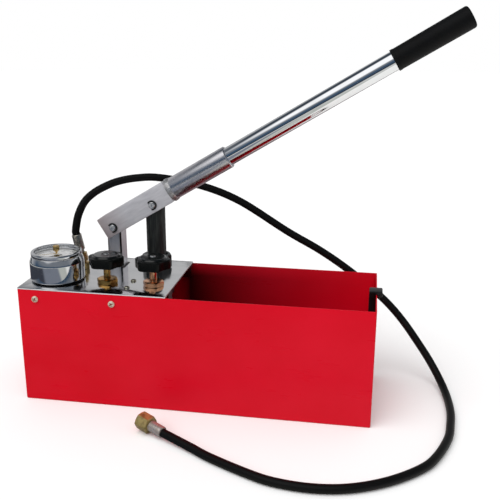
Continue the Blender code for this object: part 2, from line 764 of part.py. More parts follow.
def make_pump_body():
    """The casting: a bar under the valves, a web to the barrel's boss and an arm to the outlet."""
    grey = paint("cast_body", (0.30, 0.30, 0.31), 0.6, 0.8)
    start, end = LEFT_END + BODY_START, LEFT_END + BODY_END
    half_bar = BODY_BAR_WIDTH / 2
    bar = block((start, CONTROL_Y - half_bar, BODY_BASE), (end, CONTROL_Y + half_bar, BODY_TOP))
    body = add_part("pump_body", bar, grey)
    half_web = BODY_WEB_WIDTH / 2
    web_low, web_high = BODY_BASE + BODY_WEB_STEP, BODY_TOP - BODY_WEB_STEP
    low = (PLUNGER_X - half_web, CONTROL_Y, web_low)
    join(body, block(low, (PLUNGER_X + half_web, LEVER_Y, web_high)))
    boss = rod((PLUNGER_X, LEVER_Y, BODY_BASE), (PLUNGER_X, LEVER_Y, BODY_TOP), BODY_BOSS_RADIUS)
    join(body, boss)
    half_arm = OUTLET_ARM_WIDTH / 2
    low = (OUTLET_X - half_arm, CONTROL_Y, web_low)
    join(body, block(low, (OUTLET_X + half_arm, OUTLET_Y + OUTLET_ARM_END, web_high)))
    above = BODY_TOP + OVERRUN
    below = BODY_BASE - OVERRUN
    bore = BARREL_RADIUS + GAP
    cut(body, rod((PLUNGER_X, LEVER_Y, below), (PLUNGER_X, LEVER_Y, above), bore, FINE_SIDES))
    for x in (SHUTOFF_X, RELEASE_X):
        chamber = BONNET_SPIGOT_RADIUS + 2 * GAP
        cut(body, rod((x, CONTROL_Y, CHAMBER_BASE), (x, CONTROL_Y, above), chamber))
    port, branch = PASSAGE_RADIUS, BRANCH_RADIUS
    into = CHAMBER_BASE + OVERRUN
    cut(body, rod((RELEASE_X, CONTROL_Y, below), (RELEASE_X, CONTROL_Y, into), port, SMALL_SIDES))
    line_right = (end + OVERRUN, CONTROL_Y, UPPER_PASSAGE)
    cut(body, rod((SHUTOFF_X, CONTROL_Y, UPPER_PASSAGE), line_right, port, SMALL_SIDES))
    line_left = (start - OVERRUN, CONTROL_Y, LOWER_PASSAGE)
    line_end = (SHUTOFF_X + PASSAGE_PAST, CONTROL_Y, LOWER_PASSAGE)
    cut(body, rod(line_left, line_end, port, SMALL_SIDES))
    drop = (SHUTOFF_X, CONTROL_Y, LOWER_PASSAGE)
    cut(body, rod(drop, (SHUTOFF_X, CONTROL_Y, into), branch, SMALL_SIDES))
    far = (OUTLET_X, OUTLET_Y, LOWER_PASSAGE)
    cut(body, rod((OUTLET_X, CONTROL_Y, LOWER_PASSAGE), far, branch, SMALL_SIDES))
    floor = (OUTLET_X, OUTLET_Y, LOWER_PASSAGE - OUTLET_BORE_BELOW_PASSAGE)
    cut(body, rod(floor, (OUTLET_X, OUTLET_Y, above), OUTLET_SPIGOT_RADIUS + GAP))
    stem_base = DECK - STEM_BELOW_DECK - GAP
    cut(body, rod((GAUGE_X, GAUGE_Y, stem_base), (GAUGE_X, GAUGE_Y, above), STEM_RADIUS + GAP))
    stem_port = (GAUGE_X, GAUGE_Y, stem_base + OVERRUN)
    cut(body, rod((GAUGE_X, CONTROL_Y, LOWER_PASSAGE), stem_port, branch, SMALL_SIDES))
    plug_room = PLUG_LENGTH + GAP
    hole = PLUG_RADIUS + GAP
    cut(body, rod((end - plug_room, CONTROL_Y, UPPER_PASSAGE), line_right, hole))
    cut(body, rod(line_left, (start + plug_room, CONTROL_Y, LOWER_PASSAGE), hole))
    seat = BODY_BASE + DELIVERY_SEAT
    inside = (PLUNGER_X, CONTROL_Y, seat + OVERRUN)
    cut(body, rod((PLUNGER_X, CONTROL_Y, below), inside, DELIVERY_PORT_RADIUS, SMALL_SIDES))
    roof = (PLUNGER_X, CONTROL_Y, UPPER_PASSAGE + DELIVERY_ROOF_ABOVE_PASSAGE)
    cut(body, rod((PLUNGER_X, CONTROL_Y, seat), roof, DELIVERY_CHAMBER_RADIUS, SMALL_SIDES))
    for x, y in body_screw_places():
        depth = DECK - BODY_SCREW_LENGTH - OVERRUN
        cut(body, rod((x, y, depth), (x, y, above), BODY_SCREW_RADIUS + GAP, SMALL_SIDES))
    brass = paint("plug_brass", (0.62, 0.45, 0.2), 0.3, 1.0)
    for name, plug_start, height in (
        ("gallery_plug_right", end - PLUG_LENGTH, UPPER_PASSAGE),
        ("gallery_plug_left", start, LOWER_PASSAGE),
    ):
        low = Vector((plug_start, CONTROL_Y, height))
        add_part(name, rod(low, low + Vector((PLUG_LENGTH, 0, 0)), PLUG_RADIUS), brass)
    make_balls(seat)


def resting_height(ball_radius, port_radius):
    """How far a ball's centre sits above the edge of the port that it closes."""
    return (ball_radius**2 - port_radius**2) ** 0.5


def make_balls(seat):
    """The balls of the delivery valve, in the casting, and of the foot valve."""
    steel = paint("ball_steel", (0.6, 0.6, 0.62), 0.12, 1.0)
    height = seat + resting_height(DELIVERY_BALL_RADIUS, DELIVERY_PORT_RADIUS) + GAP
    axis = add_axis("delivery_ball_axis", (PLUNGER_X, CONTROL_Y, height))
    add_part("delivery_ball", ball(DELIVERY_BALL_RADIUS), steel, parent=axis)
    height = FOOT_BASE + FOOT_CHAMBER_BASE + resting_height(SUCTION_BALL_RADIUS, FOOT_PORT_RADIUS) + GAP
    axis = add_axis("suction_ball_axis", (PLUNGER_X, LEVER_Y, height))
    add_part("suction_ball", ball(SUCTION_BALL_RADIUS), steel, parent=axis)


def make_barrel():
    """The cylinder with its collar, the packing rings and the gland nut."""
    steel = paint("barrel_steel", (0.45, 0.45, 0.46), 0.3, 1.0)
    bore = PLUNGER_RADIUS + RUNNING
    box = GLAND_SPIGOT_RADIUS + GAP + HALF_GAP
    spigot_end = DECK + GAP - GLAND_SPIGOT
    packing_floor = spigot_end - GAP - PACKING_HEIGHT - GAP
    collar_top = BODY_BASE - GAP
    profile = (
        (box, BODY_TOP),
        (BARREL_RADIUS, BODY_TOP),
        (BARREL_RADIUS, collar_top),
        (BARREL_COLLAR_RADIUS, collar_top),
        (BARREL_COLLAR_RADIUS, collar_top - BARREL_COLLAR),
        (BARREL_RADIUS, collar_top - BARREL_COLLAR),
        (BARREL_RADIUS, BARREL_BASE),
        (bore, BARREL_BASE),
        (bore, packing_floor),
        (box, packing_floor),
    )
    at = (PLUNGER_X, LEVER_Y, 0)
    add_part("cylinder_barrel", turned(profile, FINE_SIDES), steel, at=at)
    white = paint("packing", (0.75, 0.73, 0.66), 0.7, 0.0)
    low = packing_floor + GAP
    packing = ring(GLAND_SPIGOT_RADIUS, bore, low, low + PACKING_HEIGHT, FINE_SIDES)
    add_part("gland_packing", packing, white, at=at)
    dark = paint("gland_steel", (0.05, 0.055, 0.055), 0.35, 0.7)
    seat = DECK + GAP
    top = seat + GLAND_HEX_HEIGHT
    gland = add_part("gland_nut", hexagon((0, 0, seat), (0, 0, top), GLAND_HEX_RADIUS), dark, at=at)
    middle = (0, 0, (seat + top) / 2)
    join(gland, rod((0, 0, spigot_end), middle, GLAND_SPIGOT_RADIUS, FINE_SIDES), at=at)
    above = (0, 0, top + OVERRUN)
    cut(gland, rod((0, 0, spigot_end - OVERRUN), above, bore, FINE_SIDES), at=at)


def make_plunger(limits):
    """The plunger, with the oversize slot in which the lever's pin wanders."""
    black = paint("plunger_black", (0.03, 0.032, 0.03), 0.3, 0.6)
    axis = add_axis("plunger_axis", (PLUNGER_X, LEVER_Y, PLUNGER_PIN_Z))
    top = PLUNGER_ABOVE_PIN
    base = PLUNGER_BASE - PLUNGER_PIN_Z
    profile = (
        (0, top),
        (PLUNGER_RADIUS - PLUNGER_CHAMFER, top),
        (PLUNGER_RADIUS, top - PLUNGER_CHAMFER),
        (PLUNGER_RADIUS, base),
        (0, base),
    )
    plunger = add_part("plunger", turned(profile, FINE_SIDES), black, parent=axis)
    (x_low, x_high), (z_low, z_high) = limits[1:]
    room = PIN_RADIUS + RUNNING
    reach = PLUNGER_RADIUS + OVERRUN
    slot = block((x_low - room, -reach, z_low - room), (x_high + room, reach, z_high + room))
    cut(plunger, slot, parent=axis)


def make_foot_valve():
    """The valve under the barrel, its strainer, and the two pipes."""
    brass = paint("foot_brass", (0.55, 0.40, 0.18), 0.35, 1.0)
    at = (PLUNGER_X, LEVER_Y, 0)
    spigot = PLUNGER_RADIUS
    chamber_low = FOOT_BASE + FOOT_CHAMBER_BASE
    chamber_high = chamber_low + FOOT_CHAMBER_HEIGHT
    profile = (
        (FOOT_PORT_RADIUS, FOOT_TOP + FOOT_SPIGOT),
        (spigot, FOOT_TOP + FOOT_SPIGOT),
        (spigot, FOOT_TOP),
        (FOOT_RADIUS, FOOT_TOP),
        (FOOT_RADIUS, FOOT_BASE),
        (FOOT_PORT_RADIUS, FOOT_BASE),
        (FOOT_PORT_RADIUS, chamber_low),
        (FOOT_CHAMBER_RADIUS, chamber_low),
        (FOOT_CHAMBER_RADIUS, chamber_high),
        (FOOT_PORT_RADIUS, chamber_high),
    )
    foot = add_part("foot_valve_body", turned(profile), brass, at=at)
    port_z = FOOT_BASE + SIDE_PORT_HEIGHT
    port = rod((0, 0, port_z), (0, -FOOT_RADIUS - OVERRUN, port_z), SIDE_PORT_RADIUS, SMALL_SIDES)
    cut(foot, port, at=at)

    mesh_steel = paint("strainer_steel", (0.6, 0.6, 0.6), 0.4, 1.0)
    base = STRAINER_BASE
    top = base + STRAINER_HEIGHT
    inner = STRAINER_RADIUS - STRAINER_WALL
    profile = (
        (0, base + STRAINER_WALL),
        (inner, base + STRAINER_WALL),
        (inner, top),
        (STRAINER_RADIUS, top),
        (STRAINER_RADIUS, base),
        (0, base),
    )
    strainer = add_part("suction_strainer", turned(profile), mesh_steel, at=at)
    slot_low = base + STRAINER_SLOT_BASE
    reach = STRAINER_RADIUS + OVERRUN
    for number in range(STRAINER_SLOTS):
        low = (-reach, -STRAINER_SLOT / 2, slot_low)
        slot = block(low, (reach, STRAINER_SLOT / 2, slot_low + STRAINER_SLOT_HEIGHT))
        cut(strainer, slot, at=at, turn=(0, 0, pi * (number + 1 / 2) / STRAINER_SLOTS))

    copper = paint("pipe_copper", (0.6, 0.33, 0.2), 0.3, 1.0)
    start = Vector((PLUNGER_X, LEVER_Y - FOOT_RADIUS - GAP, port_z))
    corner = Vector((PLUNGER_X, CONTROL_Y, port_z))
    end = Vector((PLUNGER_X, CONTROL_Y, BODY_BASE - GAP))
    pipe("delivery_pipe", bend_points(start, corner, end, PIPE_BEND), PIPE_RADIUS, copper)
    top = Vector((RELEASE_X, CONTROL_Y, BODY_BASE - GAP))
    pipe("return_pipe", [top, top - Vector((0, 0, RETURN_PIPE_LENGTH))], RETURN_PIPE_RADIUS, copper)


def pipe(name, points, radius, material):
    """A hollow pipe along the points."""
    outer = add_part(name, tube_mesh(points, radius), material)
    first = (points[0] - points[1]).normalized() * OVERRUN
    last = (points[-1] - points[-2]).normalized() * OVERRUN
    longer = [points[0] + first, *points[1:-1], points[-1] + last]
    cut(outer, tube_mesh(longer, radius - PIPE_WALL, 0))


def make_valve(name, x, brass_colour):
    """One needle valve: bonnet, spindle, knob and the screw that holds the knob."""
    brass = paint(f"{name}_brass", brass_colour, 0.3, 1.0)
    seat = DECK + GAP
    at = (x, CONTROL_Y, 0)
    top = seat + BONNET_HEIGHT
    flats = hexagon((0, 0, seat), (0, 0, top), BONNET_RADIUS)
    bonnet = add_part(f"{name}_bonnet", flats, brass, at=at)
    spigot_end = seat - BONNET_SPIGOT
    join(bonnet, rod((0, 0, spigot_end), (0, 0, (seat + top) / 2), BONNET_SPIGOT_RADIUS), at=at)
    above = (0, 0, top + OVERRUN)
    cut(bonnet, rod((0, 0, spigot_end - OVERRUN), above, SPINDLE_RADIUS + RUNNING), at=at)

    axis = add_axis(f"{name}_axis", (x, CONTROL_Y, DECK))
    tip = CHAMBER_BASE + GAP - DECK
    hole_floor = SPINDLE_ABOVE_DECK - KNOB_SCREW_LENGTH
    profile = (
        (0, hole_floor),
        (KNOB_SCREW_RADIUS + GAP, hole_floor),
        (KNOB_SCREW_RADIUS + GAP, SPINDLE_ABOVE_DECK),
        (SPINDLE_RADIUS, SPINDLE_ABOVE_DECK),
        (SPINDLE_RADIUS, tip + SPINDLE_TIP),
        (SPINDLE_TIP_RADIUS, tip),
        (0, tip),
    )
    add_part(f"{name}_spindle", turned(profile), brass, parent=axis)

    gloss = paint(f"{name}_knob_black", (0.01, 0.01, 0.012), 0.2, 0.0)
    low = KNOB_ABOVE_DECK + KNOB_HUB
    high = low + KNOB_HEIGHT
    outline = []
    for number in range(KNOB_POINTS):
        angle = 2 * pi * number / KNOB_POINTS
        dip = KNOB_LOBE_DEPTH / 2 * (1 - cos(KNOB_LOBES * (angle - pi / 2)))
        radius = KNOB_RADIUS - KNOB_LOBE_DEPTH + dip
        outline.append((radius * cos(angle), radius * sin(angle)))
    middle = (0, 0, (low + high) / 2)
    lobes = moved(slab(outline, KNOB_HEIGHT, KNOB_EDGE), Matrix.Translation(middle))
    knob = add_part(f"{name}_knob", lobes, gloss, parent=axis)
    join(knob, rod((0, 0, KNOB_ABOVE_DECK), middle, KNOB_HUB_RADIUS), parent=axis)
    top = high + KNOB_CAP
    profile = (
        (0, top),
        (KNOB_CAP_RADIUS, top),
        (KNOB_CAP_BASE_RADIUS, high),
        (KNOB_CAP_BASE_RADIUS, middle[2]),
        (0, middle[2]),
    )
    join(knob, turned(profile), parent=axis)
    web = SPINDLE_ABOVE_DECK + GAP
    socket = rod((0, 0, KNOB_ABOVE_DECK - OVERRUN), (0, 0, web), SPINDLE_RADIUS + GAP)
    cut(knob, socket, parent=axis)
    above = (0, 0, top + OVERRUN)
    cut(knob, rod((0, 0, web - OVERRUN), above, KNOB_SCREW_RADIUS + GAP), parent=axis)
    bright = paint(f"{name}_screw_steel", (0.6, 0.6, 0.6), 0.25, 1.0)
    head = top + GAP
    reach = head - hole_floor - GAP
    mesh = screw(KNOB_SCREW_HEAD_RADIUS, KNOB_SCREW_HEAD, KNOB_SCREW_RADIUS, reach)
    add_part(f"{name}_knob_screw", mesh, bright, parent=axis, at=(0, 0, head))


def make_gauge():
    """The level pressure gauge with its works, its needle and its drag pointer."""
    chrome = paint("gauge_chrome", (0.75, 0.76, 0.78), 0.08, 1.0)
    black = paint("gauge_black", (0.01, 0.01, 0.012), 0.35, 0.0)
    white = paint("dial_white", (0.85, 0.85, 0.84), 0.5, 0.0)
    clear = paint("gauge_glass_clear", (0.9, 0.93, 0.94), 0.03, 0.0)
    brass = paint("gauge_brass", (0.62, 0.45, 0.2), 0.25, 1.0)
    at = (GAUGE_X, GAUGE_Y, 0)
    base_low = DECK + GAP
    base_high = base_low + GAUGE_BASE_HEIGHT
    inner = GAUGE_BASE_RADIUS - GAUGE_BASE_WALL
    add_part("gauge_base", ring(GAUGE_BASE_RADIUS, inner, base_low, base_high, FINE_SIDES), black, at=at)

    case_low = base_high + GAP
    floor = case_low + GAUGE_FLOOR
    rim = case_low + GAUGE_CASE_HEIGHT
    wall = GAUGE_RADIUS - GAUGE_WALL
    hole = STEM_RADIUS + GAP
    neck = GAUGE_NECK_RADIUS - GAUGE_WALL
    shoulder = rim - GAUGE_SHOULDER
    profile = (
        (hole, floor),
        (wall, floor),
        (wall, shoulder),
        (neck, rim),
        (GAUGE_NECK_RADIUS, rim),
        (GAUGE_RADIUS, shoulder),
        (GAUGE_RADIUS, case_low),
        (hole, case_low),
    )
    add_part("gauge_case", turned(profile, FINE_SIDES), chrome, at=at)

    bezel_low = rim + GAP
    bezel_high = bezel_low + BEZEL_HEIGHT
    groove_high = bezel_high - BEZEL_LIP
    groove_low = groove_high - GLASS_THICKNESS - 2 * GAP
    profile = (
        (BEZEL_OPENING, bezel_high),
        (BEZEL_RADIUS, bezel_high),
        (BEZEL_RADIUS, bezel_low),
        (BEZEL_OPENING, bezel_low),
        (BEZEL_OPENING, groove_low),
        (BEZEL_GROOVE_RADIUS, groove_low),
        (BEZEL_GROOVE_RADIUS, groove_high),
        (BEZEL_OPENING, groove_high),
    )
    add_part("gauge_bezel", turned(profile, FINE_SIDES), chrome, at=at)
    glass_low = groove_low + GAP
    glass_high = glass_low + GLASS_THICKNESS
    shaft_hole = POINTER_SHAFT_RADIUS + RUNNING
    glass = ring(BEZEL_GROOVE_RADIUS - GAP, shaft_hole, glass_low, glass_high, FINE_SIDES)
    add_part("gauge_glass", glass, clear, at=at)

    dial_high = rim - DIAL_BELOW_RIM
    dial_low = dial_high - DIAL_THICKNESS
    arbor_hole = ARBOR_RADIUS + RUNNING
    add_part("gauge_dial", ring(DIAL_RADIUS, arbor_hole, dial_low, dial_high, FINE_SIDES), white, at=at)

    stem_low = DECK - STEM_BELOW_DECK
    block_low = floor + GAP
    block_high = block_low + STEM_BLOCK_HEIGHT
    middle = (0, 0, (block_low + block_high) / 2)
    stem = add_part("gauge_stem", rod((0, 0, stem_low), middle, STEM_RADIUS), brass, at=at)
    half = STEM_BLOCK_WIDTH / 2
    join(stem, block((-half, -STEM_BLOCK_REACH, block_low), (half, half, block_high)), at=at)
    flange_low = DECK + GAP
    join(stem, rod((0, 0, flange_low), (0, 0, flange_low + STEM_FLANGE), STEM_FLANGE_RADIUS), at=at)
    bore_start = (0, 0, stem_low - OVERRUN)
    cut(stem, rod(bore_start, (0, 0, block_low), OUTLET_BORE_RADIUS, SMALL_SIDES), at=at)

    works_low = block_high + GAP
    works_high = dial_low - GAP
    body = rod((0, 0, works_low), (0, 0, works_high), MOVEMENT_RADIUS)
    works = add_part("gauge_movement", body, brass, at=at)
    tip = BOURDON_SWEEP + block_clear_angle() - pi / 2
    arm_low = Vector((0, -MOVEMENT_ARM_WIDTH / 2, works_low))
    arm = block(arm_low, (MOVEMENT_ARM_REACH, MOVEMENT_ARM_WIDTH / 2, works_low + MOVEMENT_ARM_HEIGHT))
    join(works, arm, at=at, turn=(0, 0, tip))
    sink = dial_high - ARBOR_DEPTH - OVERRUN
    cut(works, rod((0, 0, sink), (0, 0, works_high + OVERRUN), arbor_hole, SMALL_SIDES), at=at)

    loop_z = works_low
    points = []
    for number in range(BOURDON_STEPS + 1):
        angle = -pi / 2 + block_clear_angle() + BOURDON_SWEEP * number / BOURDON_STEPS
        points.append((BOURDON_LOOP_RADIUS * cos(angle), BOURDON_LOOP_RADIUS * sin(angle), loop_z))
    add_part("bourdon_tube", tube_curve("bourdon_tube", points, BOURDON_RADIUS, 1), brass, at=at)
    make_needles(dial_high, glass_low, glass_high, black, brass)


def block_clear_angle():
    """The angle from the stem block's middle to where the Bourdon tube leaves its side."""
    clear = STEM_BLOCK_WIDTH / 2 + GAP + BOURDON_RADIUS * BOURDON_TILT_SHARE
    return asin(clear / BOURDON_LOOP_RADIUS)


def make_needles(dial_high, glass_low, glass_high, black, brass):
    axis = add_axis("needle_axis", (GAUGE_X, GAUGE_Y, dial_high), turn=(0, 0, NEEDLE_REST))
    half = NEEDLE_WIDTH / 2
    half_tip = NEEDLE_TIP_WIDTH / 2
    low, high = GAP, GAP + NEEDLE_HUB
    outline = (
        (-NEEDLE_TAIL, -half),
        (0, -half),
        (NEEDLE_LENGTH, -half_tip),
        (NEEDLE_LENGTH, half_tip),
        (0, half),
        (-NEEDLE_TAIL, half),
    )
    blade = moved(slab(outline, NEEDLE_HUB / 2), Matrix.Translation((0, 0, (low + high) / 2)))
    needle = add_part("gauge_needle", blade, black, parent=axis)
    join(needle, rod((0, 0, low), (0, 0, high), NEEDLE_HUB_RADIUS, SMALL_SIDES), parent=axis)
    join(needle, rod((0, 0, -ARBOR_DEPTH), (0, 0, (low + high) / 2), ARBOR_RADIUS, SMALL_SIDES), parent=axis)

    axis = add_axis("pointer_axis", (GAUGE_X, GAUGE_Y, glass_high), turn=(0, 0, POINTER_REST))
    under = glass_low - glass_high - POINTER_BELOW_GLASS
    half = POINTER_WIDTH / 2
    outline = ((-half, -half), (POINTER_LENGTH, -half), (POINTER_LENGTH, half), (-half, half))
    blade = moved(slab(outline, POINTER_THICKNESS), Matrix.Translation((0, 0, under)))
    pointer = add_part("gauge_pointer", blade, brass, parent=axis)
    profile = (
        (0, POINTER_KNOB_TOP),
        (POINTER_KNOB_RADIUS - POINTER_KNOB_EDGE, POINTER_KNOB_TOP),
        (POINTER_KNOB_RADIUS, POINTER_KNOB_TOP - POINTER_KNOB_EDGE),
        (POINTER_KNOB_RADIUS, POINTER_NECK),
        (POINTER_NECK_RADIUS, POINTER_NECK),
        (POINTER_NECK_RADIUS, GAP),
        (POINTER_SHAFT_RADIUS, GAP),
        (POINTER_SHAFT_RADIUS, under),
        (0, under),
    )
    join(pointer, turned(profile), parent=axis)


def make_outlet():
    """The outlet fitting, the tilted nut and the ferrule that the hose is crimped in."""
    brass = paint("outlet_brass", (0.60, 0.46, 0.22), 0.3, 1.0)
    zinc = paint("ferrule_zinc", (0.6, 0.58, 0.52), 0.3, 1.0)
    seat = DECK + GAP
    hex_top = seat + OUTLET_HEX_HEIGHT
    at = (OUTLET_X, OUTLET_Y, 0)
    flats = hexagon((0, 0, seat), (0, 0, hex_top), OUTLET_HEX_RADIUS)
    fitting = add_part("outlet_fitting", flats, brass, at=at)
    bottom = LOWER_PASSAGE + PASSAGE_RADIUS + GAP
    middle = (0, 0, (seat + hex_top) / 2)
    join(fitting, rod((0, 0, bottom), middle, OUTLET_SPIGOT_RADIUS), at=at)
    stub_top = hex_top + OUTLET_STUB
    join(fitting, rod((0, 0, hex_top - OUTLET_STUB), (0, 0, stub_top), OUTLET_STUB_RADIUS), at=at)
    bore_start, bore_end = (0, 0, bottom - OVERRUN), (0, 0, stub_top + OVERRUN)
    cut(fitting, rod(bore_start, bore_end, OUTLET_BORE_RADIUS, SMALL_SIDES), at=at)

    start = outlet_nut_start()
    along = exit_direction()
    nut_end = start + along * OUTLET_NUT_LENGTH
    nut = add_part("outlet_nut", rod(start, nut_end, OUTLET_NUT_RADIUS, HEX_SIDES), brass)
    cut(nut, rod(start - along * OVERRUN, start + along * OUTLET_NUT_BORE_DEPTH, OUTLET_NUT_BORE))
    cut(nut, rod(start, nut_end + along * OVERRUN, OUTLET_BORE_RADIUS, SMALL_SIDES))

    profile = (
        (0, FERRULE_LENGTH),
        (FERRULE_RADIUS - FERRULE_EDGE, FERRULE_LENGTH),
        (FERRULE_RADIUS, FERRULE_LENGTH - FERRULE_EDGE),
        (FERRULE_RADIUS, FERRULE_NECK_LENGTH + FERRULE_EDGE),
        (FERRULE_RADIUS - FERRULE_EDGE, FERRULE_NECK_LENGTH),
        (FERRULE_NECK_RADIUS, FERRULE_NECK_LENGTH),
        (FERRULE_NECK_RADIUS, 0),
        (0, 0),
    )
    aim = along.to_track_quat("Z", "Y").to_matrix().to_4x4()
    here = Matrix.Translation(nut_end + along * GAP) @ aim
    add_part("exit_ferrule", moved(turned(profile), here), zinc)


def direction(rise, azimuth):
    flat = cos(rise)
    return Vector((cos(azimuth) * flat, sin(azimuth) * flat, sin(rise)))


def exit_direction():
    """The direction in which the tilted nut and its ferrule point, towards the hose."""
    return direction(pi / 2 - OUTLET_NUT_LEAN, OUTLET_NUT_AZIMUTH)


def outlet_nut_start():
    return Vector((OUTLET_X, OUTLET_Y, DECK + GAP + OUTLET_HEX_HEIGHT + OUTLET_NUT_LIFT))


def make_hose():
    """The hose along its route, and the ferrule, union nut and washer at its far end."""
    rubber = paint("hose_rubber", (0.012, 0.012, 0.012), 0.6, 0.0)
    start = outlet_nut_start() + exit_direction() * (OUTLET_NUT_LENGTH + FERRULE_LENGTH + 2 * GAP)
    end = Vector(HOSE_END)
    onward = direction(END_RISE, END_AZIMUTH)
    route = [start, start + exit_direction() * HOSE_LEAD, *HOSE_ROUTE, end - onward * HOSE_LEAD, end]
    points = smooth_points(route, HOSE_STEP)
    add_part("hose", tube_curve("hose", points, HOSE_RADIUS, 2), rubber)

    silver = paint("end_silver", (0.6, 0.6, 0.58), 0.3, 1.0)
    brass = paint("union_brass", (0.62, 0.47, 0.22), 0.3, 1.0)
    tail = END_FERRULE_LENGTH + END_TAIL
    profile = (
        (0, tail),
        (END_TAIL_RADIUS, tail),
        (END_TAIL_RADIUS, END_FERRULE_LENGTH),
        (END_FERRULE_RADIUS - FERRULE_EDGE, END_FERRULE_LENGTH),
        (END_FERRULE_RADIUS, END_FERRULE_LENGTH - FERRULE_EDGE),
        (END_FERRULE_RADIUS, FERRULE_EDGE),
        (END_FERRULE_RADIUS - FERRULE_EDGE, 0),
        (0, 0),
    )
    aim = onward.to_track_quat("Z", "Y").to_matrix().to_4x4()
    first = end + onward * GAP
    add_part("end_ferrule", moved(turned(profile), Matrix.Translation(first) @ aim), silver)

    nut_start = first + onward * (END_FERRULE_LENGTH + GAP)
    axis = add_axis("union_nut_axis", nut_start, turn=aim.to_euler())
    flats = rod((0, 0, 0), (0, 0, UNION_NUT_LENGTH), UNION_NUT_RADIUS, HEX_SIDES)
    nut = add_part("union_nut", flats, brass, parent=axis)
    neck = rod((0, 0, -OVERRUN), (0, 0, UNION_NUT_FLOOR + OVERRUN), END_TAIL_RADIUS + RUNNING)
    cut(nut, neck, parent=axis)
    mouth = rod((0, 0, UNION_NUT_FLOOR), (0, 0, UNION_NUT_LENGTH + OVERRUN), UNION_NUT_BORE)
    cut(nut, mouth, parent=axis)
    black = paint("washer_rubber", (0.02, 0.02, 0.02), 0.7, 0.0)
    washer_at = nut_start + onward * END_TAIL
    washer = ring(UNION_NUT_BORE - RUNNING, WASHER_BORE, 0, WASHER_THICKNESS)
    add_part("nut_washer", moved(washer, Matrix.Translation(washer_at) @ aim), black)


def make_link():
    """The rocking link, its foot pin, and the strap under the deck that carries the pin."""
    steel = paint("link_steel", (0.55, 0.55, 0.58), 0.25, 1.0)
    axis = add_axis("link_axis", LINK_FOOT, turn=(0, -LINK_REST_LEAN, 0))
    half = LINK_WIDTH / 2
    steps = SMALL_SIDES
    outline = []
    for centre, first in ((LINK_LENGTH, 0.0), (0.0, pi)):
        for number in range(steps + 1):
            angle = first + pi * number / steps
            outline.append((half * cos(angle), centre + half * sin(angle)))
    stand = Matrix.Rotation(pi / 2, 4, "X")
    bar = moved(slab(outline, LINK_DEPTH, LINK_CHAMFER), stand)
    link = add_part("fulcrum_link", bar, steel, parent=axis)
    reach = LINK_DEPTH / 2 + OVERRUN
    for z in (0.0, LINK_LENGTH):
        cut(link, rod((0, -reach, z), (0, reach, z), PIN_RADIUS + RUNNING), parent=axis)

    plain = paint("bracket_steel", (0.5, 0.5, 0.52), 0.4, 1.0)
    inner = LINK_DEPTH / 2 + BRACKET_SIDE_PLAY
    outer = inner + BRACKET_WALL
    floor = -half - BRACKET_FOOT_ROOM
    top = PLATE_UNDER - GAP - LINK_FOOT.z
    run = BRACKET_LENGTH / 2
    strap = block((-run, -outer, floor - BRACKET_WALL), (run, outer, top))
    bracket = add_part("link_bracket", strap, plain, at=LINK_FOOT)
    gap = block((-run - OVERRUN, -inner, floor), (run + OVERRUN, inner, top + OVERRUN))
    cut(bracket, gap, at=LINK_FOOT)
    cut(bracket, rod((0, -outer - OVERRUN, 0), (0, outer + OVERRUN, 0), PIN_RADIUS + GAP), at=LINK_FOOT)
    profile = (
        (0, outer + GAP + LINK_PIN_HEAD),
        (LINK_PIN_HEAD_RADIUS, outer + GAP + LINK_PIN_HEAD),
        (LINK_PIN_HEAD_RADIUS, outer + GAP),
        (PIN_RADIUS, outer + GAP),
        (PIN_RADIUS, -outer - LINK_PIN_TAIL),
        (0, -outer - LINK_PIN_TAIL),
    )
    add_part("link_pin", turned(profile), steel, at=LINK_FOOT, turn=(pi / 2, 0, 0))
    return axis


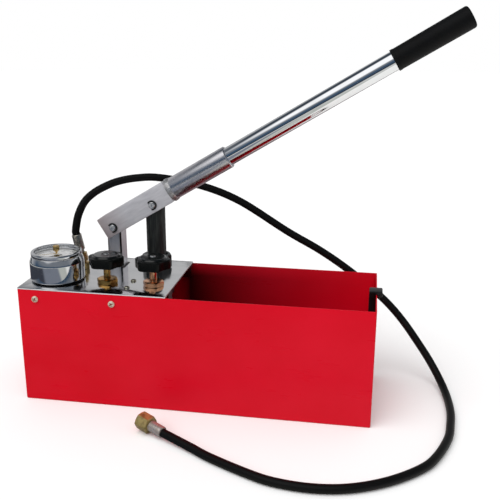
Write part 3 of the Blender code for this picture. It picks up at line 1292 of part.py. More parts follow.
def make_lever(link_axis):
    """The lever: fork with its socket, tube, grip, and the two pins with their clips."""
    grey = paint("lever_steel", (0.55, 0.55, 0.56), 0.4, 1.0)
    chrome = paint("lever_chrome", (0.75, 0.76, 0.78), 0.08, 1.0)
    turn = (0, LINK_REST_LEAN - LEVER_REST_ANGLE, 0)
    axis = add_axis("lever_axis", (0, 0, LINK_LENGTH), turn=turn, parent=link_axis)
    inner = PLUNGER_RADIUS + FORK_SIDE_PLAY
    outer = inner + FORK_WALL
    end = FORK_FRONT + FORK_END_PLATE
    channel = block((-FORK_BACK, -outer, -FORK_BELOW), (end, outer, FORK_ABOVE), FORK_EDGE)
    fork = add_part("lever_fork", channel, grey, parent=axis)
    low = (-FORK_BACK - OVERRUN, -inner, -FORK_BELOW - OVERRUN)
    cut(fork, block(low, (FORK_FRONT, inner, FORK_ABOVE - FORK_WALL)), parent=axis)
    bore = TUBE_RADIUS + GAP
    reach = SOCKET_LENGTH
    sink = FORK_END_PLATE / 2
    profile = (
        (0, SOCKET_FLOOR),
        (bore, SOCKET_FLOOR),
        (bore, reach - SOCKET_MOUTH),
        (bore + SOCKET_MOUTH, reach),
        (SOCKET_RADIUS - SOCKET_MOUTH, reach),
        (SOCKET_RADIUS, reach - SOCKET_MOUTH),
        (SOCKET_RADIUS, WELD_LENGTH),
        (WELD_RADIUS, 0),
        (WELD_ROOT_RADIUS, -sink),
        (0, -sink),
    )
    along = (0, pi / 2, 0)
    join(fork, turned(profile), parent=axis, at=(end, 0, TUBE_ABOVE_PINS), turn=along)
    half = outer + OVERRUN
    for u in (0.0, LEVER_ARM):
        cut(fork, rod((u, -half, 0), (u, half, 0), PIN_RADIUS + GAP), parent=axis)

    tube_start = end + SOCKET_FLOOR + GAP
    tube = ring(TUBE_RADIUS, TUBE_RADIUS - TUBE_WALL, 0, TUBE_LENGTH)
    add_part("lever_tube", tube, chrome, parent=axis, at=(tube_start, 0, TUBE_ABOVE_PINS), turn=along)
    black = paint("grip_rubber", (0.012, 0.012, 0.013), 0.55, 0.0)
    cap = GRIP_LENGTH - GRIP_END
    profile = (
        (0, GRIP_LENGTH),
        (GRIP_RADIUS - GRIP_ROUND, GRIP_LENGTH),
        (GRIP_RADIUS, GRIP_LENGTH - GRIP_ROUND),
        (GRIP_RADIUS, 0),
        (bore, 0),
        (bore, cap),
        (0, cap),
    )
    grip_start = tube_start + TUBE_LENGTH + GAP - cap
    at = (grip_start, 0, TUBE_ABOVE_PINS)
    add_part("lever_grip", turned(profile), black, parent=axis, at=at, turn=along)

    bright = paint("pin_steel", (0.65, 0.65, 0.66), 0.2, 1.0)
    dark = paint("clip_steel", (0.05, 0.05, 0.05), 0.4, 0.8)
    reach = outer + PIN_PROTRUSION
    number = 0
    for name, u in (("fulcrum_pin", 0.0), ("plunger_pin", LEVER_ARM)):
        add_part(name, rod((u, -reach, 0), (u, reach, 0), PIN_RADIUS), bright, parent=axis)
        for side in (-1, 1):
            number += 1
            low = outer + GAP
            mesh = ring(CLIP_RADIUS, PIN_RADIUS + GAP, low, low + CLIP_THICKNESS)
            add_part(f"pin_clip_{number}", mesh, dark, parent=axis, at=(u, 0, 0), turn=(-side * pi / 2, 0, 0))


def main():
    clear_scene()
    limits = swing_limits()
    make_tank(paint("tank_red", (0.60, 0.01, 0.02), 0.25, 0.0))
    make_deck_plate(limits)
    make_screws()
    make_pump_body()
    make_barrel()
    make_plunger(limits)
    make_foot_valve()
    make_valve("shutoff", SHUTOFF_X, (0.60, 0.42, 0.16))
    make_valve("release", RELEASE_X, (0.70, 0.38, 0.22))
    make_gauge()
    make_outlet()
    make_hose()
    make_lever(make_link())
    bpy.context.view_layer.update()


main()
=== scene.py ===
from math import atan2, cos, pi, radians, sin, tan

import bmesh
import bpy
from mathutils import Matrix, Vector, noise


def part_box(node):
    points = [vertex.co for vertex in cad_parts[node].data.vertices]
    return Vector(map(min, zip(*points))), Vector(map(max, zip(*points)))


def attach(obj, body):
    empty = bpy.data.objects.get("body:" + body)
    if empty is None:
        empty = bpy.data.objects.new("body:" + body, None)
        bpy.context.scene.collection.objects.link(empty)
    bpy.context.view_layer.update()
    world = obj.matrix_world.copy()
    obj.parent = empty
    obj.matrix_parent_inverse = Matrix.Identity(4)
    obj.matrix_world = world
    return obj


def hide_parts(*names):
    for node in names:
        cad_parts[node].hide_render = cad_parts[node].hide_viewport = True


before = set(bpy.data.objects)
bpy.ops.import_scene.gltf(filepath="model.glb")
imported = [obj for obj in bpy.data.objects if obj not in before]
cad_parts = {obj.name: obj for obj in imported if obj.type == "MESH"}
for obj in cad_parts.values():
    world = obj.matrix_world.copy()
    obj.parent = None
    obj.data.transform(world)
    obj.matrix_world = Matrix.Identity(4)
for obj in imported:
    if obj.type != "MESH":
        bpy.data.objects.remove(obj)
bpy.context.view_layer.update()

print("frame loaded:", len(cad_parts), "nodes")

# distances and angles that several pieces share
joinDistance = 0.00001
clearance = 0.0003
sharpAngle = radians(35)
quarter = pi / 2


def linked(name, data):
    thing = bpy.data.objects.new(name, data)
    bpy.context.scene.collection.objects.link(thing)
    return thing


def at(x, y, z=0.0):
    return Matrix.Translation((x, y, z))


def turned(angle, axis):
    return Matrix.Rotation(angle, 4, axis)


def aimed(start, along):
    # from local Z to a direction
    return Matrix.Translation(start) @ along.to_track_quat("Z", "Y").to_matrix().to_4x4()


def pointing(rise, azimuth):
    # unit vector from a rise above level and an azimuth from +X
    return Vector((cos(azimuth) * cos(rise), sin(azimuth) * cos(rise), sin(rise)))


# Camera and hose first

camera = {
    "place": (0.22990, -0.98388, 0.52114), "azimuth": radians(9.31), "elevation": radians(16.769),
    "roll": radians(0.311), "lens": 52.65, "sensor": 36.0,
}


def makeCamera():
    data = bpy.data.cameras.new("camera")
    data.lens = camera["lens"]
    data.sensor_width = camera["sensor"]
    forward = pointing(-camera["elevation"], quarter + camera["azimuth"])
    aim = forward.to_track_quat("-Z", "Y").to_matrix().to_4x4()
    eye = linked("camera", data)
    eye.matrix_world = Matrix.Translation(camera["place"]) @ aim @ turned(camera["roll"], "Z")
    bpy.context.scene.camera = eye


hose = {
    "radius": 0.0058, "step": 0.006, "lead": 0.004, "sides": 7, "shares": 16, "length": 1.35,
    "exit": (-0.19878, 0.01800, 0.22583), "exitRise": radians(79.0), "exitAzimuth": radians(194.4),
    "end": (-0.0212, -0.1575, 0.0102), "endRise": radians(6.6), "endAzimuth": radians(151.4),
    "route": (
        (-0.1975, 0.0215, 0.2470), (-0.1941, 0.0250, 0.2595), (-0.1872, 0.0300, 0.2738),
        (-0.1775, 0.0380, 0.2841), (-0.1648, 0.0470, 0.2921), (-0.1452, 0.0580, 0.3000),
        (-0.1187, 0.0710, 0.3041), (-0.0853, 0.0830, 0.3034), (-0.0256, 0.0980, 0.2906),
        (0.0345, 0.1060, 0.2668), (0.1086, 0.1130, 0.2202), (0.1623, 0.1150, 0.1904),
        (0.2100, 0.1150, 0.1590), (0.2590, 0.1120, 0.1213), (0.2923, 0.1020, 0.0896),
        (0.3252, 0.0820, 0.0508), (0.3413, 0.0680, 0.0300), (0.3536, 0.0490, 0.0130),
        (0.3600, 0.0160, 0.0062), (0.3611, -0.0266, 0.0062), (0.3576, -0.0643, 0.0062),
        (0.3508, -0.1023, 0.0062), (0.3320, -0.1497, 0.0062), (0.3114, -0.1790, 0.0062),
        (0.2723, -0.2113, 0.0062), (0.2275, -0.2330, 0.0062), (0.1829, -0.2405, 0.0062),
        (0.1366, -0.2360, 0.0062), (0.1008, -0.2230, 0.0062), (0.0508, -0.1982, 0.0062),
        (0.0236, -0.1819, 0.0071),
    ),
}
exitAlong = pointing(hose["exitRise"], hose["exitAzimuth"])
endAlong = pointing(hose["endRise"], hose["endAzimuth"])


def smoothPoints(route):
    # the two end stretches stay straight, and the rest is a Catmull-Rom curve
    route = [Vector(point) for point in route]
    fine = []
    shares = [number / hose["shares"] for number in range(hose["shares"])]
    for before, start, end, after in zip(route, route[1:], route[2:], route[3:]):
        for t in shares:
            bend = 2 * start + (end - before) * t
            bend += (2 * before - 5 * start + 4 * end - after) * t**2
            bend += (3 * start - before - 3 * end + after) * t**3
            fine.append(bend / 2)
    fine.append(route[-2])
    chosen = [route[0], fine[0]]
    for point in fine:
        if (point - chosen[-1]).length > hose["step"]:
            chosen.append(point)
    if (fine[-1] - chosen[-1]).length > joinDistance:
        chosen[-1] = fine[-1]
    return [*chosen, route[-1]]


def lineCurve(name, points, radius, sides, radii=None):
    curve = bpy.data.curves.new(name, "CURVE")
    curve.dimensions = "3D"
    curve.bevel_depth = radius
    curve.bevel_resolution = sides
    curve.use_fill_caps = True
    line = curve.splines.new("POLY")
    line.points.add(len(points) - 1)
    for number, (target, place) in enumerate(zip(line.points, points)):
        target.co = (*place, 1)
        target.radius = radii[number] if radii else 1.0
    line.use_smooth = True
    return linked(name, curve)


def makeHoseLine():
    start, end, lead = Vector(hose["exit"]), Vector(hose["end"]), hose["lead"]
    route = [start, start + exitAlong * lead, *hose["route"], end - endAlong * lead, end]
    return lineCurve("hoseLine", smoothPoints(route), hose["radius"], hose["sides"])


# Shader maths

class Wire:
    # an output that can stand in a sum
    def __init__(self, shading, socket):
        self.shading = shading
        self.socket = socket

    def combine(self, operation, first, second):
        return self.shading.node("Math", {"operation": operation}, {0: first, 1: second})

    def __add__(self, other):
        return self.combine("ADD", self, other)

    def __radd__(self, other):
        return self.combine("ADD", other, self)

    def __sub__(self, other):
        return self.combine("SUBTRACT", self, other)

    def __rsub__(self, other):
        return self.combine("SUBTRACT", other, self)

    def __mul__(self, other):
        return self.combine("MULTIPLY", self, other)

    def __rmul__(self, other):
        return self.combine("MULTIPLY", other, self)

    def __pow__(self, other):
        return self.combine("POWER", self, other)

    def __abs__(self):
        return self.shading.node("Math", {"operation": "ABSOLUTE"}, {0: self})


def fillRamp(ramp, stops):
    for element, (position, colour) in zip(ramp.elements, (stops[0], stops[-1])):
        element.position = position
        element.color = (*colour, 1)
    for position, colour in stops[1:-1]:
        ramp.elements.new(position).color = (*colour, 1)


class Shading:
    # a node tree, and the few ways in which its nodes are made
    def __init__(self, tree):
        self.tree = tree

    def node(self, kind, settings=None, inputs=None, output=0):
        made = self.tree.nodes.new("ShaderNode" + kind)
        for key, value in (settings or {}).items():
            if key == "stops":
                fillRamp(made.color_ramp, value)
            else:
                setattr(made, key, value)
        for key, value in (inputs or {}).items():
            if isinstance(value, Wire):
                self.tree.links.new(value.socket, made.inputs[key])
            else:
                made.inputs[key].default_value = value
        return Wire(self, made.outputs[output])

    def place(self, centre=(0, 0, 0), turn=(0, 0, 0), scale=(1, 1, 1)):
        # Object coordinates seen from a centre, turned and stretched
        inputs = {"Vector": self.node("TexCoord", output="Object")}
        inputs.update({"Location": centre, "Rotation": turn, "Scale": scale})
        return self.node("Mapping", {"vector_type": "TEXTURE"}, inputs)

    def part(self, vector, axis):
        return self.node("SeparateXYZ", {}, {"Vector": vector}, axis)

    def vector(self, operation, first, second=(0, 0, 0), output=0):
        return self.node("VectorMath", {"operation": operation}, {0: first, 1: second}, output)

    def cloud(self, vector, scale, detail=3.0):
        inputs = {"Vector": vector, "Scale": scale, "Detail": detail, "Roughness": 0.55}
        return self.node("TexNoise", {}, inputs)

    def rings(self, along, scale):
        return self.node("TexNoise", {"noise_dimensions": "1D"}, {"W": along, "Scale": scale})

    def window(self, value, low, high, toLow=0.0, toHigh=1.0):
        # value from low to high becomes toLow to toHigh, held outside
        inputs = {"Value": value, "From Min": low, "From Max": high, "To Min": toLow, "To Max": toHigh}
        return self.node("MapRange", {"clamp": True}, inputs)

    def mix(self, factor, first, second):
        ends = [end if isinstance(end, Wire) else (*end, 1) for end in (first, second)]
        settings = {"data_type": "RGBA", "blend_type": "MIX"}
        return self.node("Mix", settings, {0: factor, 6: ends[0], 7: ends[1]}, 2)


class Finish(Shading):
    # one material: a Principled shader and the nodes that feed it
    def __init__(self, name, colour, constants):
        self.material = bpy.data.materials.new(name)
        self.material.use_nodes = True
        super().__init__(self.material.node_tree)
        self.shader = self.tree.nodes["Principled BSDF"]
        self.shader.inputs["Base Color"].default_value = (*colour, 1)
        for socket, value in constants.items():
            self.shader.inputs[socket].default_value = value

    def feed(self, socket, wire):
        self.tree.links.new(wire.socket, self.shader.inputs[socket])

    def look(self, colour, roughness):
        self.feed("Base Color", colour)
        self.feed("Roughness", roughness)
        return self

    def bump(self, height, strength, distance):
        inputs = {"Strength": strength, "Distance": distance, "Height": height}
        self.feed("Normal", self.node("Bump", {}, inputs))
        return self

    def radial(self, centre, turn=(0, 0, 0)):
        # distance from an axis, and place along it
        local = self.place(centre, turn)
        flat = self.vector("MULTIPLY", local, (1, 1, 0))
        return self.vector("LENGTH", flat, output="Value"), self.part(local, "Z")


def makeRedPaint():
    paint = Finish("redPaint", (0.55, 0.002, 0.013), {"Specular IOR Level": 0.12})
    here = paint.place()
    drift = paint.window(paint.cloud(here, 5.0), 0.35, 0.65)
    fresh = paint.mix(drift, (0.52, 0.0012, 0.010), (0.58, 0.003, 0.016))
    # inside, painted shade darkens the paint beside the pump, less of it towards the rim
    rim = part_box("tank")[1]
    inner = rim.y - tank["wall"] / 2
    inside = 1.0 - paint.window(abs(paint.part(here, "Y")), inner - joinDistance, inner + joinDistance)
    start, full, end = tank["paintedShadeSpan"]
    along = paint.part(here, "X")
    beside = paint.window(along, start, full) - paint.window(along, full, end)
    depth = paint.window(paint.part(here, "Z"), rim.z - tank["paintedShadeDepth"], rim.z, 1.0, tank["paintedShadeAtRim"])
    smear = paint.window(paint.cloud(paint.place(scale=(4, 1, 1)), 60.0), 0.3, 0.75)
    paint.look(paint.mix(inside * beside * depth, fresh, tank["paintedShade"]), 0.26 + 0.12 * smear)
    return paint.bump(paint.cloud(here, 700.0, 1.5) + 3.0 * paint.cloud(here, 24.0, 1.0), 0.10, 0.0002)


def makeBrightPlate():
    metal = Finish("brightPlate", (0.80, 0.80, 0.80), {})
    here = metal.place()
    streaks = metal.cloud(metal.place(scale=(0.5, 0.008, 0.5)), 90.0, 4.0)
    smudge = metal.window(metal.cloud(here, 26.0, 3.0), 0.45, 0.75)
    height = metal.part(here, "Z")
    under, edge = deckTop - plate["thickness"], plate["edge"]
    cut = metal.window(height, deckTop - edge, deckTop - 2 * edge)
    cut -= metal.window(height, under + joinDistance, under)
    metal.look(
        metal.mix(smudge, (0.80, 0.80, 0.80), (0.70, 0.71, 0.72)),
        0.10 + 0.05 * streaks + 0.08 * smudge + 0.3 * cut,
    )
    metal.feed("Metallic", 1.0 - 0.7 * cut)
    return metal.bump(0.03 * streaks + metal.cloud(here, 30.0, 2.0), 0.35, 0.0003)


def makeChrome(name, centre, turn, colour=(0.80, 0.81, 0.83), rough=0.035):
    # bright plating on a turned piece, with faint handling marks
    metal = Finish(name, colour, {"Metallic": 1.0})
    along = metal.radial(centre, turn)[1]
    touch = metal.window(metal.cloud(metal.place(centre, turn), 45.0, 4.0), 0.50, 0.72)
    drawn = metal.cloud(metal.place(centre, turn, (0.006, 0.006, 1.0)), 6.0, 2.0)
    tone = metal.mix(touch, colour, tuple(0.9 * part for part in colour))
    metal.look(tone, rough + 0.05 * touch + 0.03 * drawn)
    return metal.bump(metal.rings(along, 1600.0) + 2.0 * drawn, 0.02, 0.0001)


def makeTurnedMetal(name, colour, dull, centre, turn=(0, 0, 0), rough=0.22, metallic=1.0):
    # a machined piece: fine rings from the lathe, and darker patches where it has dulled
    metal = Finish(name, colour, {"Metallic": metallic})
    radius, along = metal.radial(centre, turn)
    rings = metal.rings(along + radius, 2600.0)
    patch = metal.window(metal.cloud(metal.place(centre, turn), 150.0, 4.0), 0.42, 0.70)
    metal.look(metal.mix(patch, colour, dull), rough + 0.10 * patch + 0.06 * rings)
    return metal.bump(rings + 0.5 * patch, 0.12, 0.00012)


def makeSatinSteel(name, colour, turn, rough=0.38, metallic=1.0, grain=0.15):
    # flat stock with a fine brushed grain along its own X
    metal = Finish(name, colour, {"Metallic": metallic})
    here = metal.place()
    brushed = metal.cloud(metal.place((0, 0, 0), turn, (1.0, 0.03, 0.03)), 60.0, 5.0)
    patch = metal.window(metal.cloud(here, 40.0, 4.0), 0.38, 0.70)
    darker = tuple(0.86 * part for part in colour)
    metal.look(metal.mix(patch, colour, darker), rough + 0.10 * patch + 0.08 * brushed)
    return metal.bump(brushed + 0.6 * metal.cloud(here, 2200.0, 2.0), grain, 0.00015)


def makeDarkSteel(name, centre, sheen=(0.050, 0.056, 0.054)):
    # blackened and oiled steel, rubbed lighter in upright streaks
    metal = Finish(name, (0.020, 0.022, 0.022), {"Metallic": 0.6})
    streaks = metal.cloud(metal.place(centre, (0, 0, 0), (1.0, 1.0, 14.0)), 420.0, 4.0)
    rubbed = metal.window(streaks, 0.45, 0.75)
    metal.look(metal.mix(rubbed, (0.018, 0.020, 0.020), sheen), 0.30 + 0.18 * streaks)
    return metal.bump(streaks, 0.08, 0.0001)


def makeCasting():
    metal = Finish("casting", (0.30, 0.30, 0.31), {"Metallic": 0.75})
    here = metal.place()
    grain, lumps = metal.cloud(here, 900.0, 3.0), metal.cloud(here, 140.0, 3.0)
    metal.look(metal.mix(lumps, (0.20, 0.20, 0.21), (0.38, 0.38, 0.39)), 0.45 + 0.30 * grain)
    return metal.bump(grain + 1.5 * lumps, 0.5, 0.0003)


def makeBlackGloss():
    constants = {"Specular IOR Level": 0.12, "Coat Roughness": 0.12}
    plastic = Finish("blackGloss", (0.003, 0.003, 0.003), constants)
    here = plastic.place()
    flow = plastic.cloud(here, 160.0, 3.0)
    dust = plastic.window(plastic.cloud(here, 900.0, 3.0), 0.62, 0.80)
    tone = plastic.mix(dust, (0.0025, 0.003, 0.0028), (0.012, 0.012, 0.012))
    plastic.look(tone, 0.16 + 0.12 * flow + 0.15 * dust)
    # the caps are rubbed bright by hands
    top = deckTop + knob["high"]
    plastic.feed("Coat Weight", plastic.window(plastic.part(here, "Z"), top, top + knob["capHeight"] / 2))
    return plastic.bump(flow, 0.08, 0.0002)


def makeBlackPlastic(name, rough, grainScale, depth, pale=(0.012, 0.012, 0.013), shine=0.25):
    plastic = Finish(name, (0.004, 0.004, 0.004), {"Specular IOR Level": shine})
    here = plastic.place()
    grain = plastic.cloud(here, grainScale, 3.0)
    patch = plastic.window(plastic.cloud(here, 35.0, 4.0), 0.40, 0.75)
    plastic.look(plastic.mix(patch, (0.003, 0.003, 0.003), pale), rough + 0.12 * grain)
    return plastic.bump(grain, depth, 0.0002)


def makeZinc(name, tint, centre, metallic=1.0):
    # yellow passivated zinc: straw, with pink and blue patches
    metal = Finish(name, tint, {"Metallic": metallic})
    here = metal.place(centre)
    patch = metal.window(metal.cloud(here, 260.0, 3.0), 0.35, 0.65)
    cool = metal.window(metal.cloud(here, 420.0, 2.0), 0.55, 0.75)
    warm = metal.mix(patch, tint, tuple(0.78 * part for part in tint))
    metal.look(metal.mix(cool, warm, (0.55, 0.55, 0.60)), 0.24 + 0.16 * patch)
    return metal.bump(patch + cool, 0.06, 0.0001)


def makeMottled(name, colour, dark, pale, scale, detail, rough, stretch=1.0):
    # two tones in one cloud; its place is returned too, for relief
    finish = Finish(name, colour, {})
    cloud = finish.cloud(finish.place(scale=(1, 1, stretch)), scale, detail)
    return finish.look(finish.mix(cloud, dark, pale), rough[0] + rough[1] * cloud), cloud


def makeGlass():
    # a clear pane seen by what it mirrors, more of it towards its edge-on side
    pane = Finish("gaugeGlass", (0.97, 0.98, 0.98), {"Metallic": 1.0, "Roughness": 0.02})
    smudge = pane.window(pane.cloud(pane.place(), 90.0, 3.0), 0.55, 0.80)
    facing = pane.node("LayerWeight", {}, {"Blend": 0.5}, "Facing")
    pane.feed("Alpha", 0.04 + 0.96 * facing**5.0 + 0.03 * smudge)
    pane.feed("Roughness", 0.015 + 0.08 * smudge)
    return pane


def makeWeldMetal():
    metal = Finish("weldMetal", (0.52, 0.52, 0.53), {"Metallic": 0.9})
    here = metal.place()
    heat = metal.window(metal.cloud(here, 160.0, 3.0), 0.40, 0.70)
    metal.look(metal.mix(heat, (0.56, 0.56, 0.57), (0.36, 0.34, 0.33)), 0.38 + 0.18 * heat)
    return metal.bump(metal.cloud(here, 1300.0, 3.0), 0.3, 0.0002)


# Shapes

def centreOf(node):
    low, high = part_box(node)
    return (low + high) / 2


def heights(node):
    return (corner.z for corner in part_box(node))


def stairs(*values):
    # an outline that runs across and up by turns: x, y, then the next x, the next y and so on
    points = [values[:2]]
    for number, value in enumerate(values[2:]):
        x, y = points[-1]
        points.append((x, value) if number % 2 else (value, y))
    return points


def rectangle(x0, y0, x1, y1):
    return stairs(x0, y0, x1, y1, x0)


def eased(points, ease, closed=False, steps=3):
    # a flat outline with its corners rounded, each by no more than its sides allow
    points = [Vector((*point, 0)) for point in points]
    rounded = []
    count = len(points)
    for number, corner in enumerate(points):
        if not closed and number in (0, count - 1):
            rounded.append(corner)
            continue
        back = points[number - 1] - corner
        on = points[(number + 1) % count] - corner
        reach = min(ease, 0.45 * back.length, 0.45 * on.length)
        first = corner + back.normalized() * reach
        last = corner + on.normalized() * reach
        for step in range(steps + 1):
            t = step / steps
            rounded.append(first * (1 - t) ** 2 + corner * 2 * t * (1 - t) + last * t**2)
    return [(point.x, point.y) for point in rounded]


def arc(centre, radius, start, end, steps):
    turns = [start + (end - start) * number / steps for number in range(steps + 1)]
    return [(centre[0] + radius * cos(turn), centre[1] + radius * sin(turn)) for turn in turns]


def band(outer, inner, start, end, steps):
    return arc((0, 0), outer, start, end, steps) + arc((0, 0), inner, end, start, steps)


def welded(shape):
    bmesh.ops.remove_doubles(shape, verts=shape.verts[:], dist=joinDistance)
    return shape


def faced(shape):
    bmesh.ops.recalc_face_normals(shape, faces=shape.faces[:])
    return shape


def bevelled(shape, edges, width, segments):
    bmesh.ops.bevel(
        shape, geom=edges, offset=width, segments=segments, profile=0.5, affect="EDGES", material=-1
    )
    return shape


def moved(shape, matrix):
    shape.transform(matrix)
    return shape


def spun(profile, steps=72):
    # a profile of radius and height turned about Z; off the axis at both ends it is closed
    shape = bmesh.new()
    points = [shape.verts.new((radius, 0, height)) for radius, height in profile]
    edges = [shape.edges.new(pair) for pair in zip(points, points[1:])]
    if min(profile[0][0], profile[-1][0]) > joinDistance:
        edges.append(shape.edges.new((points[-1], points[0])))
    geometry = points + edges
    bmesh.ops.spin(
        shape, geom=geometry, cent=(0, 0, 0), axis=(0, 0, 1), angle=2 * pi, steps=steps, use_merge=True
    )
    return faced(welded(shape))


def turnedShape(profile, ease, place, sides=72, closed=True, steps=3):
    return moved(spun(eased(profile, ease, closed, steps), sides), place)


def rodShape(radius, high, low, steps=72):
    return spun(stairs(0, high, radius, low, 0), steps)


def soften(shape, width, segments=2):
    sharp = [edge for edge in shape.edges if edge.is_manifold and edge.calc_face_angle() > sharpAngle]
    return bevelled(shape, sharp, width, segments)


def boxShape(low, high, edge=0.0, segments=3):
    shape = bmesh.new()
    bmesh.ops.create_cube(shape, size=1)
    low, high = Vector(low), Vector(high)
    bmesh.ops.scale(shape, vec=high - low, verts=shape.verts)
    bmesh.ops.translate(shape, vec=(low + high) / 2, verts=shape.verts)
    return soften(shape, edge, segments) if edge else shape


def barShape(radius, low, high, sides=48, turn=0.0):
    # a round or many-sided bar along Z
    shape = bmesh.new()
    bmesh.ops.create_cone(
        shape, cap_ends=True, segments=sides, radius1=radius, radius2=radius, depth=high - low
    )
    bmesh.ops.rotate(shape, cent=(0, 0, 0), matrix=Matrix.Rotation(turn, 3, "Z"), verts=shape.verts)
    bmesh.ops.translate(shape, vec=(0, 0, (low + high) / 2), verts=shape.verts)
    return shape


def slabShape(outline, low, high, edge=0.0, segments=3):
    # a flat outline raised from low to high, its two rims rounded
    shape = bmesh.new()
    face = shape.faces.new([shape.verts.new((x, y, low)) for x, y in outline])
    raised = bmesh.ops.extrude_face_region(shape, geom=[face])
    top = [item for item in raised["geom"] if isinstance(item, bmesh.types.BMVert)]
    bmesh.ops.translate(shape, vec=(0, 0, high - low), verts=top)
    faced(shape)
    return soften(shape, edge, segments) if edge else shape


def meshOf(name, shape):
    mesh = bpy.data.meshes.new(name)
    shape.to_mesh(mesh)
    shape.free()
    return mesh


def evaluated(thing):
    # a new bmesh of the object as its modifiers leave it, without the object
    graph = bpy.context.evaluated_depsgraph_get()
    mesh = bpy.data.meshes.new_from_object(thing.evaluated_get(graph))
    bpy.data.objects.remove(thing)
    shape = bmesh.new()
    shape.from_mesh(mesh)
    bpy.data.meshes.remove(mesh)
    return shape


def carve(shape, tools, operation="DIFFERENCE"):
    thing = linked("temp", meshOf("temp", shape))
    cutters = [linked("temp", meshOf("temp", tool)) for tool in tools]
    for cutter in cutters:
        step = thing.modifiers.new("carve", "BOOLEAN")
        step.operation = operation
        step.object = cutter
    result = evaluated(thing)
    for cutter in cutters:
        bpy.data.objects.remove(cutter)
    return welded(result)


def tubeShape(points, radius, sides=6, radii=None):
    return faced(welded(evaluated(lineCurve("temp", points, radius, sides, radii))))


def nutShape(radius, low, high, ease=0.0003):
    # a hexagon with two corners along X, its rims cut back by a cone
    chamfer = radius * (1 - cos(pi / 6)) * tan(pi / 6)
    flat = radius * cos(pi / 6)
    wide = radius + ease
    prism = barShape(radius, low, high, 6, pi / 6)
    upright = [edge for edge in prism.edges if abs(edge.verts[0].co.z - edge.verts[1].co.z) > joinDistance]
    bevelled(prism, upright, ease, 2)
    cone = ((0, high), (flat, high), (wide, high - chamfer), (wide, low + chamfer), (flat, low), (0, low))
    return carve(prism, [spun(cone)], "INTERSECT")


def merged(*shapes):
    # several shapes as one mesh, each still closed by itself
    whole = bmesh.new()
    for shape in shapes:
        mesh = meshOf("temp", shape)
        whole.from_mesh(mesh)
        bpy.data.meshes.remove(mesh)
    return whole


def addPiece(name, shape, finish, node="", body="root"):
    mesh = meshOf(name, shape)
    mesh.shade_smooth()
    mesh.set_sharp_from_angle(angle=sharpAngle)
    mesh.materials.append(finish.material)
    piece = linked(name, mesh)
    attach(piece, body)
    if node:
        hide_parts(node)
    return piece


def roundEdges(piece, width, segments, angle):
    step = piece.modifiers.new("edges", "BEVEL")
    step.width = width
    step.segments = segments
    step.limit_method = "ANGLE"
    step.angle_limit = angle


makeCamera()
hoseLine = makeHoseLine()
print("camera and hose line made")

# places that several pieces share
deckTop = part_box("deck_plate")[1].z
fulcrum = centreOf("fulcrum_pin")
plungerPin = centreOf("plunger_pin")
leverAlong = (plungerPin - fulcrum).normalized()
leverAngle = atan2(leverAlong.z, leverAlong.x)
leverTurn = turned(-leverAngle, "Y")
leverPlace = Matrix.Translation(fulcrum) @ leverTurn
leverEuler = (0, -leverAngle, 0)
tubeEuler = (0, quarter - leverAngle, 0)
barrelCentre = centreOf("cylinder_barrel")
barrelPlace = at(barrelCentre.x, barrelCentre.y)
gaugeCentre = centreOf("gauge_case")

# finishes that several pieces share
blackPlastic = makeBlackPlastic("blackPlastic", 0.38, 1200.0, 0.15)
hoseRubber = makeBlackPlastic("hoseRubber", 0.40, 1500.0, 0.20, (0.004, 0.004, 0.004), 0.14)
washerRubber = makeBlackPlastic("washerRubber", 0.6, 800.0, 0.2)
plainSteel = makeSatinSteel("plainSteel", (0.58, 0.58, 0.60), (0, 0, 0), 0.28)
print("shared finishes made")


# Tank

tank = {
    "wall": 0.0015, "corner": 0.002, "rim": 0.0004, "bead": 0.0011, "beadPitch": 0.0024, "beadInset": 0.6,
    # the last four entries are the painted shade inside the tank: its tone, its span along X, its depth and its
    # share at the rim
    "beadWave": 0.14, "paintedShade": (0.03, 0.0003, 0.001), "paintedShadeSpan": (-0.06, -0.04, 0.24), "paintedShadeDepth": 0.02,
    "paintedShadeAtRim": 0.55,
}


def makeTank():
    low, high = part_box("tank")
    shell = boxShape(low, high)
    top = [face for face in shell.faces if face.normal.z > 0.5]
    bmesh.ops.delete(shell, geom=top, context="FACES_ONLY")
    bevelled(shell, [edge for edge in shell.edges if not edge.is_boundary], tank["corner"], 6)
    redPaint = makeRedPaint()
    piece = addPiece("tankShell", shell, redPaint, "tank")
    sheet = piece.modifiers.new("sheet", "SOLIDIFY")
    sheet.thickness = tank["wall"]
    sheet.offset = -1
    sheet.use_even_offset = True
    roundEdges(piece, tank["rim"], 2, radians(60))

    # weld beads up the four inside corners
    inset = tank["wall"] + tank["bead"] * tank["beadInset"]
    beads = []
    count = int((high.z - low.z - 4 * tank["corner"]) / tank["beadPitch"] * 2)
    rises = [low.z + tank["corner"] + tank["beadPitch"] / 2 * number for number in range(count)]
    radii = [1.0 + tank["beadWave"] * (-1) ** number for number in range(count)]
    for x in (low.x + inset, high.x - inset):
        for y in (low.y + inset, high.y - inset):
            beads.append(tubeShape([(x, y, z) for z in rises], tank["bead"], 2, radii))
    addPiece("tankSeams", merged(*beads), redPaint)


# Deck plate with its flanges

plate = {
    "thickness": 0.002, "corner": 0.0012, "edge": 0.00035, "flange": 0.024, "wallGap": 0.0018,
    "slot": (-0.1635, 0.0308, -0.1305, 0.0612), "slotCorner": 0.002,
    "holes": {
        "shutoff_spindle": 0.0096, "release_spindle": 0.0096, "cylinder_barrel": 0.0176,
        "gauge_case": 0.0061, "outlet_fitting": 0.0071, "body_screw_1": 0.0025, "body_screw_2": 0.0025,
    },
}


